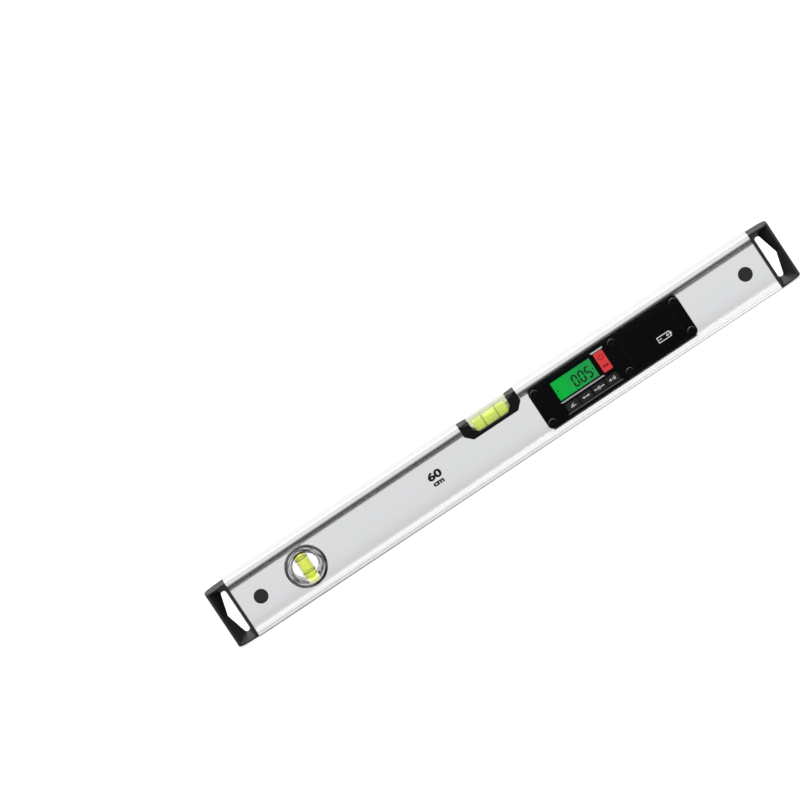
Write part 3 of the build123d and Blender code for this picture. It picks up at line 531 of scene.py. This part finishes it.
def air_bubble():
    """Air in the spirit: almost clear, with a painted glow and a painted dark rim where its skin turns away
    from view.
    """
    clear = {"Transmission Weight": 0.85, "IOR": 1.15, "Emission Strength": 0.5}
    finish, shader = new_finish("air_bubble", (0.90, 0.94, 0.70), 0.02, more=clear)
    film = noise(object_place(shader), 260.0, 2.0)
    facing = add_node(finish.node_tree, "ShaderNodeLayerWeight", {"Blend": 0.35}).outputs["Facing"]
    # Painted shade and glow: the rim darkens where the skin turns away from view, and the colour glows
    rim = reckon("MULTIPLY_ADD", film, 0.12, facing)
    tint = shade(rim, (0.22, (0.95, 0.97, 0.85)), (0.62, (0.08, 0.10, 0.015)))
    feed(shader, {"Base Color": tint, "Emission Color": tint})
    return finish


def bubble_loops(radius, half, taper, steps):
    """Loops of a bubble with blunt ends; a smaller taper makes them blunter."""
    first, sweep = 4, 172
    turns = [math.radians(first + step * sweep / steps) for step in range(steps + 1)]
    return [(radius * math.sin(turn) ** taper, -half * math.cos(turn)) for turn in turns]


air = air_bubble()
bubble_middle, bubble_half = box_of("plumb_vial_bubble")
plumb_air = turn_on_lathe("plumb_air", bubble_loops(bubble_half.x, bubble_half.z, 0.6, 14), bubble_middle)
ease_edges(plumb_air, 0.05 * mm, 50)
settle(plumb_air, air, "plumb_vial_bubble_body")
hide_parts("plumb_vial_bubble")

dress(acrylic, "plumb_vial_plug")
dress(printed_ink("plumb_olive", (0.24, 0.28, 0.03), 0.4), "plumb_vial_lines")


# Main vial holder: black moulding that fills the notch in the upper lip and frames the vial on both sides.
# Tongues at its ends hook under the lip, and the tops of its arms are cut back in facets.
dress(
    moulded_plastic("holder_plastic", (0.003, 0.003, 0.0035), (0.02, 0.02, 0.021), 0.36, 3000.0, 0.18, 0.1),
    "main_vial_holder",
)


# Main vial block: a polished acrylic block with a barrel bore, set in the holder from above.
# Its lower corners are cut off, and a small plug closes the filling hole in its right end.
def select_edges(piece, wanted):
    """Opens a piece's mesh with only the wanted edges selected, judged by the places of their two ends."""
    bpy.ops.object.mode_set(mode="EDIT")
    bpy.ops.mesh.select_mode(type="EDGE")
    bpy.ops.mesh.select_all(action="DESELECT")
    bpy.ops.object.mode_set(mode="OBJECT")
    for edge in piece.data.edges:
        edge.select = wanted(*[piece.data.vertices[i].co for i in edge.vertices])
    bpy.ops.object.mode_set(mode="EDIT")


# The block carries a painted glow of the spirit's light
block_acrylic = clear_plastic("block_acrylic", (0.54, 0.58, 0.44), 0.03, 1.10, glow=0.07)
block_middle, block_half = box_of("main_vial_block")
block_corner = 3.0 * mm
bpy.ops.object.select_all(action="DESELECT")
bpy.ops.mesh.primitive_cube_add(size=2, location=block_middle)
block = bpy.context.object
block.name = "main_block"
block.scale = block_half
bpy.ops.object.transform_apply()
select_edges(block, lambda a, b: max(a.z, b.z) < block_middle.z and abs(a.x - b.x) < mm)
bpy.ops.mesh.bevel(offset=block_corner, segments=1, affect="EDGES")
bpy.ops.object.mode_set(mode="OBJECT")
spirit_middle, spirit_half = box_of("main_vial_liquid")
spirit_radius = spirit_half.y
spirit_axis = (spirit_middle.x, spirit_middle.y, spirit_middle.z - spirit_half.z + spirit_radius)
along_level = (0, math.pi / 2, 0)
main_bore = barrel_loops(spirit_radius + bore_play, spirit_half.x + bore_play)
cut_away(block, turn_on_lathe("main_bore", main_bore, spirit_axis, along_level))
ease_edges(block, 0.25 * mm)
settle(block, block_acrylic, "level")
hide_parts("main_vial_block")

main_barrel = barrel_loops(spirit_radius, spirit_half.x)
main_spirit = turn_on_lathe("main_spirit", main_barrel, spirit_axis, along_level)
ease_edges(main_spirit, 0.3 * mm)
settle(main_spirit, dyed_spirit("main_dye", 0.65, 0.38), "level")
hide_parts("main_vial_liquid")

drop_middle, drop_half = box_of("main_vial_bubble")
drop_loops = bubble_loops(drop_half.z, drop_half.x, 0.7, 16)
main_air = turn_on_lathe("main_air", drop_loops, drop_middle, along_level)
ease_edges(main_air, 0.05 * mm, 50)
settle(main_air, air, "main_vial_bubble_body")
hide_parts("main_vial_bubble")

dress(block_acrylic, "main_vial_plug")
dress(printed_ink("main_olive", (0.12, 0.14, 0.03), 0.4), "main_vial_lines")


# Module case, seal and circuit board: hidden behind the web, where the case carries the board and the cells.
# The board is green solder mask over copper tracks, with moulded chips, a buzzer and striped connectors.
dress(moulded_plastic("case_plastic", (0.02, 0.02, 0.021), (0.05, 0.05, 0.05), 0.5, 2200.0), "module_case")


def foam_rubber():
    """Closed-cell foam with fine open pores on its cut edges."""
    finish, shader = new_finish("foam_rubber", (0.02, 0.02, 0.02), 0.85)
    pattern = {"Vector": object_place(shader), "Scale": 2500.0}
    cells = add_node(finish.node_tree, "ShaderNodeTexVoronoi", pattern).outputs["Distance"]
    feed(shader, {
        "Base Color": shade(cells, (0.1, (0.008, 0.008, 0.008)), (0.6, (0.03, 0.03, 0.03))),
        "Normal": relief(cells, 0.5, 0.1 * mm),
    })
    return finish


dress(foam_rubber(), "module_seal")


def board_mask():
    """Green solder mask, paler over the copper tracks that run along and across the board."""
    finish, shader = new_finish("board_mask", (0.02, 0.16, 0.05), 0.35)
    upright = mapped(object_place(shader), rotation=(math.pi / 2, 0, 0))
    layout = {
        "Vector": upright, "Scale": 260.0, "Mortar Size": 0.06, "Brick Width": 1.6, "Row Height": 0.35,
        "Color1": (0.015, 0.13, 0.04, 1), "Color2": (0.02, 0.17, 0.055, 1), "Mortar": (0.06, 0.30, 0.10, 1),
    }
    tracks = add_node(finish.node_tree, "ShaderNodeTexBrick", layout).outputs
    feed(shader, {"Base Color": tracks["Color"], "Normal": relief(tracks["Fac"], 0.2, 0.04 * mm)})
    return finish


dress(board_mask(), "circuit_board")
dress(
    moulded_plastic("chip_epoxy", (0.014, 0.014, 0.014), (0.04, 0.04, 0.04), 0.55, 4000.0),
    "tilt_sensor", "processor", "buzzer",
)


def striped_elastomer():
    """Connector rubber in thin conducting and insulating layers."""
    finish, shader = new_finish("striped_elastomer", (0.35, 0.12, 0.16), 0.6)
    stripes = {"Vector": object_place(shader), "Scale": 700.0}
    layers = add_node(
        finish.node_tree, "ShaderNodeTexWave", stripes, wave_type="BANDS", bands_direction="X"
    ).outputs["Fac"]
    feed(shader, {"Base Color": shade(layers, (0.4, (0.03, 0.03, 0.03)), (0.6, (0.50, 0.18, 0.24)))})
    return finish


dress(striped_elastomer(), "display_connectors")


# Battery cells and contacts: two cells side by side, turned opposite ways, between plated spring contacts.
# Their jackets are plain, with a paler band round the end that carries the button.
def cell_jacket(name, middle, button_side):
    """Printed steel jacket, dark along most of its length and pale near the button."""
    dark, pale = (0.03, 0.03, 0.034), (0.62, 0.60, 0.56)
    band_start, band_edge = button_side * 12.0 * mm, button_side * 12.3 * mm
    finish, shader = new_finish(name, dark, 0.3, 0.4)
    place = object_place(shader)
    button_end = stretch(split(mapped(place, location=-middle))["X"], band_start, band_edge)
    wrap = noise(place, 400.0, 3.0)
    feed(shader, {
        "Base Color": shade(button_end, (0.0, dark), (1.0, pale)),
        "Roughness": stretch(wrap, 0.0, 1.0, 0.24, 0.38),
    })
    return finish


for cell, button_side in (("battery_upper", -1), ("battery_lower", 1)):
    dress(cell_jacket(cell.replace("battery", "jacket"), box_of(cell)[0], button_side), cell)


def plated_steel(name, colour, roughness):
    """Plated steel with fine handling marks."""
    finish, shader = new_finish(name, colour, roughness, 1.0)
    marks = noise(object_place(shader), 900.0, 5.0, 0.4)
    feed(shader, {
        "Base Color": shade(marks, (0.3, [c * 0.8 for c in colour]), (0.6, colour)),
        "Roughness": stretch(marks, 0.0, 1.0, roughness - 0.08, roughness + 0.12),
    })
    return finish


nickel_plate = plated_steel("nickel_plate", (0.72, 0.71, 0.69), 0.22)
dress(nickel_plate, "battery_contacts", "battery_bridge", "key_domes")


# Display: liquid crystal glass over a diffusing backlight, seen through a clear window set in the cover.
# The panel glows green, brightest beside its lamp at the left, and its lit segments are dark.
def diffuser():
    """White light guide with a faint printed dot grid."""
    finish, shader = new_finish("diffuser", (0.85, 0.88, 0.82), 0.6)
    grid = {"Vector": object_place(shader), "Scale": 1400.0, "Randomness": 0.0}
    dots = add_node(finish.node_tree, "ShaderNodeTexVoronoi", grid).outputs["Distance"]
    feed(shader, {"Base Color": shade(dots, (0.2, (0.95, 0.97, 0.92)), (0.4, (0.80, 0.84, 0.78)))})
    return finish


dress(diffuser(), "display_backlight")


def lit_panel(left, right):
    """Green back-lit panel, duller away from its lamp, with a very fine polariser grain."""
    lit = {"Emission Strength": 0.9}
    finish, shader = new_finish("lit_panel", (0.002, 0.06, 0.01), 0.4, gloss=0.05, more=lit)
    place = object_place(shader)
    from_lamp = stretch(split(place)["X"], left, right)
    mottle = reckon("MULTIPLY_ADD", noise(place, 1800.0, 2.0), 0.12, from_lamp)
    tint = shade(mottle, (0.25, (0.003, 0.42, 0.05)), (0.85, (0.016, 0.30, 0.075)))
    feed(shader, {"Emission Color": tint})
    return finish


glass_low, glass_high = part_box("display_glass")
dress(lit_panel(glass_low.x, glass_high.x), "display_glass")
dress(clear_plastic("window_plastic", (0.96, 0.98, 0.96), 0.03, 1.03, 0.05, 0.0, 0.15), "display_window")


# Display segments: the reading is made of straight bars with pointed ends, three figures and a point.
# Two small arrows at the sides show which way to turn.
print_ink, segment_ink = 0.02 * mm, 0.03 * mm


def deepen(piece, ink=print_ink):
    """Gives a flat outline its thickness towards the front."""
    open_mesh()
    bpy.ops.mesh.extrude_region_move(TRANSFORM_OT_translate={"value": (0, -ink, 0)})
    close_mesh()
    return piece


def flat_sheet(face, x, z, width, height, turn=0.0):
    """Four-cornered sheet on a face; x and z, in millimetres, run from the middle of that face."""
    bpy.ops.object.select_all(action="DESELECT")
    place = (face[0] + x * mm, face[1], face[2] + z * mm)
    bpy.ops.mesh.primitive_plane_add(size=1, location=place, rotation=(math.pi / 2, -turn, 0))
    sheet = bpy.context.object
    sheet.scale = (width * mm, height * mm, 1)
    bpy.ops.object.transform_apply()
    return sheet


def pointed_bar(face, start, end, width, ink=print_ink):
    """Straight bar with pointed ends, from one point to another."""
    (x0, z0), (x1, z1) = start, end
    length, turn = math.hypot(x1 - x0, z1 - z0), math.atan2(z1 - z0, x1 - x0)
    bar = flat_sheet(face, (x0 + x1) / 2, (z0 + z1) / 2, length, width, turn)
    open_mesh()
    bpy.ops.mesh.bevel(offset=width / 2 * mm, affect="VERTICES")
    bpy.ops.mesh.select_all(action="SELECT")
    bpy.ops.mesh.remove_doubles(threshold=0.002 * mm)
    return deepen(bar, ink)


def flat_disc(face, x, z, radius, corners, turn=0.0):
    """Round or many-cornered sheet on a face."""
    bpy.ops.object.select_all(action="DESELECT")
    bpy.ops.mesh.primitive_circle_add(
        vertices=corners, radius=radius * mm, fill_type="NGON", rotation=(math.pi / 2, -turn, 0),
        location=(face[0] + x * mm, face[1], face[2] + z * mm),
    )
    bpy.ops.object.transform_apply()
    return bpy.context.object


def arrow_head(face, x, z, size, point_right, ink=print_ink):
    """Three-cornered plate that points to the right or to the left."""
    turn = -math.pi / 2 if point_right else math.pi / 2
    return deepen(flat_disc(face, x, z, size, 3, turn), ink)


def stamp(pattern, face, places, turn):
    """Copies of a pattern at places on a face, each turned in the front plane."""
    copies = []
    for x, z in places:
        copy = pattern.copy()
        copy.data = pattern.data.copy()
        bpy.context.collection.objects.link(copy)
        copy.location = (face[0] + x * mm, face[1], face[2] + z * mm)
        copy.rotation_euler = (0, turn, 0)
        copies.append(copy)
    bpy.data.objects.remove(pattern)
    return copies


panel_border = 0.8 * mm
panel_corner = (glass_low.x + panel_border, glass_low.y, glass_low.z + panel_border)
stroke, slit = 1.8, 0.05
figures_left, figures_foot = 17.8, 2.1
figure_width, figure_height, figure_pitch = 4.1, 10.1, 7.0
foot = figures_foot + stroke / 2
waist, head = foot + figure_height / 2, foot + figure_height
upper, lower = (waist + head) / 2, (foot + waist) / 2
upright_places, level_places = [], []
for figure, segments in enumerate(("abcdef", "abcdef", "afgcd")):
    left = figures_left + stroke / 2 + figure * figure_pitch
    right = left + figure_width
    uprights = (("b", right, upper), ("c", right, lower), ("e", left, lower), ("f", left, upper))
    upright_places += [(x, z) for letter, x, z in uprights if letter in segments]
    shade_levels = (("a", head), ("g", waist), ("d", foot))
    level_places += [((left + right) / 2, z) for letter, z in shade_levels if letter in segments]
lit = []
for places, length, turn in (
    (upright_places, figure_height / 2, math.pi / 2),
    (level_places, figure_width, 0),
):
    half = length / 2 - slit
    pattern = pointed_bar((0, 0, 0), (-half, 0), (half, 0), stroke, segment_ink)
    lit += stamp(pattern, panel_corner, places, turn)
point_x, point_width = 24.1, 1.1
lit.append(pointed_bar(panel_corner, (point_x, 2.0), (point_x, 3.2), point_width, segment_ink))
arrow_z, arrow_size = 8.8, 1.1
for arrow_x, point_right in ((2.5, False), (39.4, True)):
    lit.append(arrow_head(panel_corner, arrow_x, arrow_z, arrow_size, point_right, segment_ink))
segment_dark = printed_ink("segment_dark", (0.002, 0.035, 0.010), 0.4)
settle(weld("display_reading", lit), segment_dark, "level")


# Module cover: black moulded plate with a raised key frame, held over the web by screws.
# The flat parts have a fine grain, and the polished bevels round the keys catch the light.
def cover_black(plate_y, frame_y):
    """Black cover plastic, grained on its flat parts and lacquered on the level bevels of the key frame."""
    black, rubbed = (0.0014, 0.0015, 0.002), (0.05, 0.051, 0.055)
    finish = moulded_plastic("cover_plastic", black, rubbed, 0.42, 3200.0, 0.12, 0.045)
    shader = finish.node_tree.nodes["Principled BSDF"]
    depth = split(object_place(shader))["Y"]
    edge, full = 0.02 * mm, 0.05 * mm
    risen = stretch(depth, plate_y - edge, plate_y - full)
    sunk = stretch(depth, frame_y + edge, frame_y + full)
    bevel = reckon("MULTIPLY", risen, sunk)
    level_bevel = stretch(reckon("ABSOLUTE", split(surface_normal(shader))["Z"]), 0.1, 0.25)
    lacquer = reckon("MULTIPLY", bevel, level_bevel)
    feed(shader, {"Coat Weight": lacquer, "Coat Roughness": 0.08, "Coat IOR": 1.6})
    return finish


cover_front, lid_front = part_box("module_cover")[0].y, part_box("battery_lid")[0].y
dress(cover_black(lid_front, cover_front), "module_cover", "battery_lid")


def blacked_steel(front):
    """Blacked screw steel with a painted highlight: a bright ring on the rounded edge of each head, on its
    upper half only.
    """
    black, highlight_grey = (0.008, 0.008, 0.009), (0.20, 0.20, 0.21)
    finish, shader = new_finish("blacked_steel", (0.012, 0.012, 0.013), 0.3, 1.0)
    place = object_place(shader)
    marks = noise(place, 900.0, 5.0, 0.4)
    behind = stretch(split(place)["Y"], front, front + 1.0 * mm)
    # Painted highlight: a bright ring on the rounded edge of each head, kept to faces that turn upward
    painted_highlight_ring = shade(behind, (0.04, black), (0.22, highlight_grey), (0.50, highlight_grey), (0.60, (0.01, 0.01, 0.011)))
    upper = stretch(split(surface_normal(shader))["Z"], -0.05, 0.45)
    feed(shader, {
        "Base Color": blend(upper, (0.006, 0.006, 0.0065, 1), painted_highlight_ring),
        "Roughness": stretch(marks, 0.0, 1.0, 0.22, 0.40),
    })
    return finish


dress(blacked_steel(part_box("module_screws")[0].y), "module_screws")


# Keys: soft silicone caps through the cover, four charcoal mode keys and a red power key above the last.
# Their marks are printed in white on the mode keys and moulded darker in the power key.
def silicone(name, colour, deep):
    """Silicone rubber with a soft sheen and a fine skin."""
    finish, shader = new_finish(name, colour, 0.55, gloss=0.2)
    skin = noise(object_place(shader), 1600.0, 3.0)
    feed(shader, {
        "Base Color": shade(skin, (0.3, deep), (0.65, colour)),
        "Roughness": stretch(skin, 0.0, 1.0, 0.45, 0.65),
        "Normal": relief(skin, 0.12, 0.05 * mm),
    })
    return finish


key_charcoal = silicone("key_charcoal", (0.017, 0.018, 0.019), (0.012, 0.012, 0.013))
dress(key_charcoal, *[f"mode_key_{number}" for number in (1, 2, 3, 4)])
dress(silicone("key_red", (0.90, 0.060, 0.066), (0.78, 0.045, 0.05)), "power_key")


def front_face(node):
    """Middle of a CAD piece's front face."""
    middle, half = box_of(node)
    return middle.x, middle.y - half.y, middle.z


def hollow(sheet, border):
    """Opens the middle of a flat sheet, leaves a border and gives it the thickness of the ink."""
    open_mesh()
    bpy.ops.mesh.inset(thickness=border * mm)
    bpy.ops.mesh.delete(type="FACE")
    return deepen(sheet)


def plain_plate(face, x, z, width, height):
    """Four-cornered plate."""
    return deepen(flat_sheet(face, x, z, width, height))


def arc_band(face, x, z, radius, first, last, width, steps):
    """Flat band along an arc, from one angle to another in degrees."""
    bpy.ops.object.select_all(action="DESELECT")
    turn = math.radians(first)
    middle = (face[0] + x * mm, face[1], face[2] + z * mm)
    start_x = middle[0] + radius * mm * math.cos(turn)
    start_z = middle[2] + radius * mm * math.sin(turn)
    start = (start_x, middle[1] - print_ink / 2, start_z)
    bpy.ops.mesh.primitive_plane_add(size=1, location=start, rotation=(0, -turn, 0))
    band = bpy.context.object
    band.scale = (width * mm, print_ink, 1)
    bpy.ops.object.transform_apply()
    open_mesh()
    bpy.ops.mesh.spin(steps=steps, angle=math.radians(last - first), center=middle, axis=(0, 1, 0))
    bpy.ops.mesh.select_all(action="SELECT")
    bpy.ops.mesh.remove_doubles(threshold=0.002 * mm)
    bpy.ops.mesh.fill_holes(sides=4)
    close_mesh()
    return band


def horn_plate(face):
    """Outline of a loudspeaker: a small sheet whose right edge is drawn out and widened."""
    throat_x, throat_width, throat_height = -2.9, 0.9, 1.1
    drawn_out, widened = 1.3 * mm, 2.6
    horn = flat_sheet(face, throat_x, 0, throat_width, throat_height)
    right_half = face[0] + (throat_x + 0.2) * mm
    select_edges(horn, lambda a, b: min(a.x, b.x) > right_half)
    bpy.ops.mesh.extrude_edges_move(TRANSFORM_OT_translate={"value": (drawn_out, 0, 0)})
    bpy.ops.transform.resize(value=(1, 1, widened), center_override=face)
    return deepen(horn)


white_ink = printed_ink("key_white", (0.72, 0.72, 0.72))
line, thick_line = 0.6, 0.8
face = front_face("mode_key_1")
angle_sign = [
    pointed_bar(face, (-2.8, -1.1), (2.8, -1.1), line),
    pointed_bar(face, (-2.2, -0.5), (1.2, 1.6), line),
    arc_band(face, -2.8, -1.1, 3.2, 8, 26, line, 4),
]
settle(weld("mark_angle", angle_sign), white_ink, "mode_key_1_body")

face = front_face("mode_key_2")
swap_sign = [
    plain_plate(face, 0, 0, 4.2, thick_line),
    arrow_head(face, -2.5, 0, 1.3, False),
    arrow_head(face, 2.5, 0, 1.3, True),
]
settle(weld("mark_swap", swap_sign), white_ink, "mode_key_2_body")

face = front_face("mode_key_3")
zero_radius, zero_line = 1.1, 0.7
zero_sign = [plain_plate(face, x, 0, 3.4, thick_line) for x in (-3.6, 3.6)]
zero_sign.append(hollow(flat_disc(face, 0, 0, zero_radius + zero_line / 2, 32), zero_line))
settle(weld("mark_zero", zero_sign), white_ink, "mode_key_3_body")

face = front_face("mode_key_4")
sound_sign = [horn_plate(face)]
sound_sign += [arc_band(face, -0.9, 0, radius, -28, 28, line, 6) for radius in (1.4, 2.6, 3.8)]
settle(weld("mark_sound", sound_sign), white_ink, "mode_key_4_body")

face = front_face("power_key")
power_z, power_line = 4.4, 0.9
power_sign = [
    arc_band(face, 0, power_z, 2.3, 125, 415, power_line, 20),
    pointed_bar(face, (0, power_z + 0.2), (0, power_z + 3.2), power_line),
    plain_plate(face, 0, -4.6, 6.0, 2.3),
]
power_dark = printed_ink("power_dark", (0.40, 0.012, 0.014))
settle(weld("mark_power", power_sign), power_dark, "power_key_body")


# Battery lid: black cover over the cells, flush with the module and pried out by four notches.
# A plain outline of a cell with its two poles is printed on it in white.
lid_middle = front_face("battery_lid")
sign_face = (lid_middle[0] + 9.15 * mm, lid_middle[1], lid_middle[2] - 6.1 * mm)
sign_width, sign_height, sign_border = 13.4, 5.8, 0.9
pole_x, pole_bar = 3.6, 2.8
cell_sign = [
    hollow(flat_sheet(sign_face, 0, 0, sign_width, sign_height), sign_border),
    plain_plate(sign_face, 7.3, 0, 1.2, 2.6),
    plain_plate(sign_face, pole_x, 0, pole_bar, thick_line),
    plain_plate(sign_face, pole_x, 0.9, thick_line, 1.0),
    plain_plate(sign_face, pole_x, -0.9, thick_line, 1.0),
    plain_plate(sign_face, -pole_x, 0, pole_bar, thick_line),
]
settle(weld("mark_cell", cell_sign), white_ink, "battery_lid_body")


# Studio: a pale floor that runs out of view, a white surround, a soft box above and strips for the gleams.
# In reflections the floor has a dark band along the level, and a low white card stands by each lower lip.
# Band and card are brighter towards the right end.
white = (1, 1, 1, 1)
bpy.ops.object.select_all(action="DESELECT")
bpy.ops.mesh.primitive_plane_add(size=40)
floor = bpy.context.object
floor.name = "floor"
floor_finish, floor_shader = new_finish(
    "floor_white", (0.50, 0.50, 0.50), 0.9, gloss=0.0, more={"Emission Color": white}
)
floor_tree = floor_finish.node_tree
rays = add_node(floor_tree, "ShaderNodeLightPath", {}).outputs
seen = reckon("MAXIMUM", rays["Is Camera Ray"], rays["Is Transmission Ray"])
feed(floor_shader, {"Emission Strength": reckon("MULTIPLY", seen, 0.68)})
floor_parts = split(object_place(floor_shader))
away = reckon("ABSOLUTE", floor_parts["Y"])
zone_reach = 80.0 * mm
zones = ((0.18, 0.34), (0.22, 0.0), (0.46, 0.0), (0.58, 0.45), (0.72, 0.85), (0.86, 1.0))
dark_band = shade(stretch(away, 0.0, zone_reach), *[(position, [level] * 3) for position, level in zones])
close_by = stretch(away, 17.6 * mm, 14.4 * mm)
rightward = stretch(floor_parts["X"], -200.0 * mm, 120.0 * mm, 0.0, 0.75)
mirror_level = reckon("ADD", dark_band, reckon("MULTIPLY", close_by, rightward))
glow = add_node(floor_tree, "ShaderNodeEmission", {"Color": mirror_level})
ways = {"Fac": rays["Is Glossy Ray"], 1: floor_shader.outputs["BSDF"], 2: glow.outputs["Emission"]}
mirrored = add_node(floor_tree, "ShaderNodeMixShader", ways)
feed(floor_tree.nodes["Material Output"], {"Surface": mirrored.outputs["Shader"]})
floor.data.materials.append(floor_finish)

card_length, card_height = 640 * mm, 6.4 * mm
card_y, card_z = 20.0 * mm, 3.3 * mm
card_finish, card_shader = new_finish(
    "card_white", (0.0, 0.0, 0.0), 1.0, gloss=0.0, more={"Emission Color": white}
)
card_light = stretch(split(object_place(card_shader))["X"], 0.0, 0.4, 1.25, 1.5)
feed(card_shader, {"Emission Strength": card_light})
for name, y in (("card_front", -card_y), ("card_rear", card_y)):
    bpy.ops.mesh.primitive_plane_add(size=1, location=(0, y, card_z), rotation=(math.pi / 2, 0, 0))
    card = bpy.context.object
    card.name = name
    card.scale = (card_length, card_height, 1)
    card.data.materials.append(card_finish)
    for ray in ("camera", "diffuse", "transmission", "volume_scatter", "shadow"):
        setattr(card, f"visible_{ray}", False)

surround = bpy.data.worlds.new("surround")
surround.use_nodes = True
bpy.context.scene.world = surround
sky_rays = add_node(surround.node_tree, "ShaderNodeLightPath", {}).outputs
sky_level = stretch(sky_rays["Is Diffuse Ray"], 0.0, 1.0, 0.95, 0.66)
feed(surround.node_tree.nodes["Background"], {"Color": white, "Strength": sky_level})


def soft_box(name, place, target, width, height, watts, gleams):
    """Area lamp turned towards a target, which either makes gleams or gives soft light without them."""
    bpy.ops.object.light_add(type="AREA", location=place)
    lamp = bpy.context.object
    lamp.name = name
    lamp.data.shape = "RECTANGLE"
    lamp.data.size, lamp.data.size_y, lamp.data.energy = width, height, watts
    aim = [t - p for t, p in zip(target, place)]
    flat = math.hypot(aim[0], aim[1])
    lamp.rotation_euler = (math.atan2(flat, -aim[2]), 0, math.atan2(-aim[0], aim[1]))
    lamp.visible_diffuse = not gleams
    lamp.visible_glossy = gleams


soft_box("top_box", (-0.5, -1.1, 1.9), (0, 0, 0.03), 2.6, 1.6, 27.0, False)
soft_box("slope_strip", (0, -1.22, 1.59), (0, 0, 0.006), 2.6, 0.36, 1.3, True)
soft_box("overhead_strip", (0, -0.15, 1.6), (0, -0.15, 0.03), 1.8, 0.5, 19.0, True)
soft_box("rear_strip", (0, 0.86, 1.58), (0, 0, 0.03), 1.8, 0.5, 34.0, True)
soft_box("front_strip", (0.11, -1.45, 0.92), (0.11, 0, 0.03), 0.16, 0.05, 0.25, True)

camera_place = (-59.10 * mm, -11819.44 * mm, 2105.06 * mm)
camera_turn = [math.radians(angle) for angle in (78.5197, 33.0809, -6.3256)]
bpy.ops.object.camera_add(location=camera_place, rotation=camera_turn)
camera = bpy.context.object
camera.data.sensor_width = 36.0
camera.data.lens = 606.42
camera.data.clip_end = 100.0
bpy.context.scene.camera = camera
bpy.context.scene.view_settings.view_transform = "Standard"
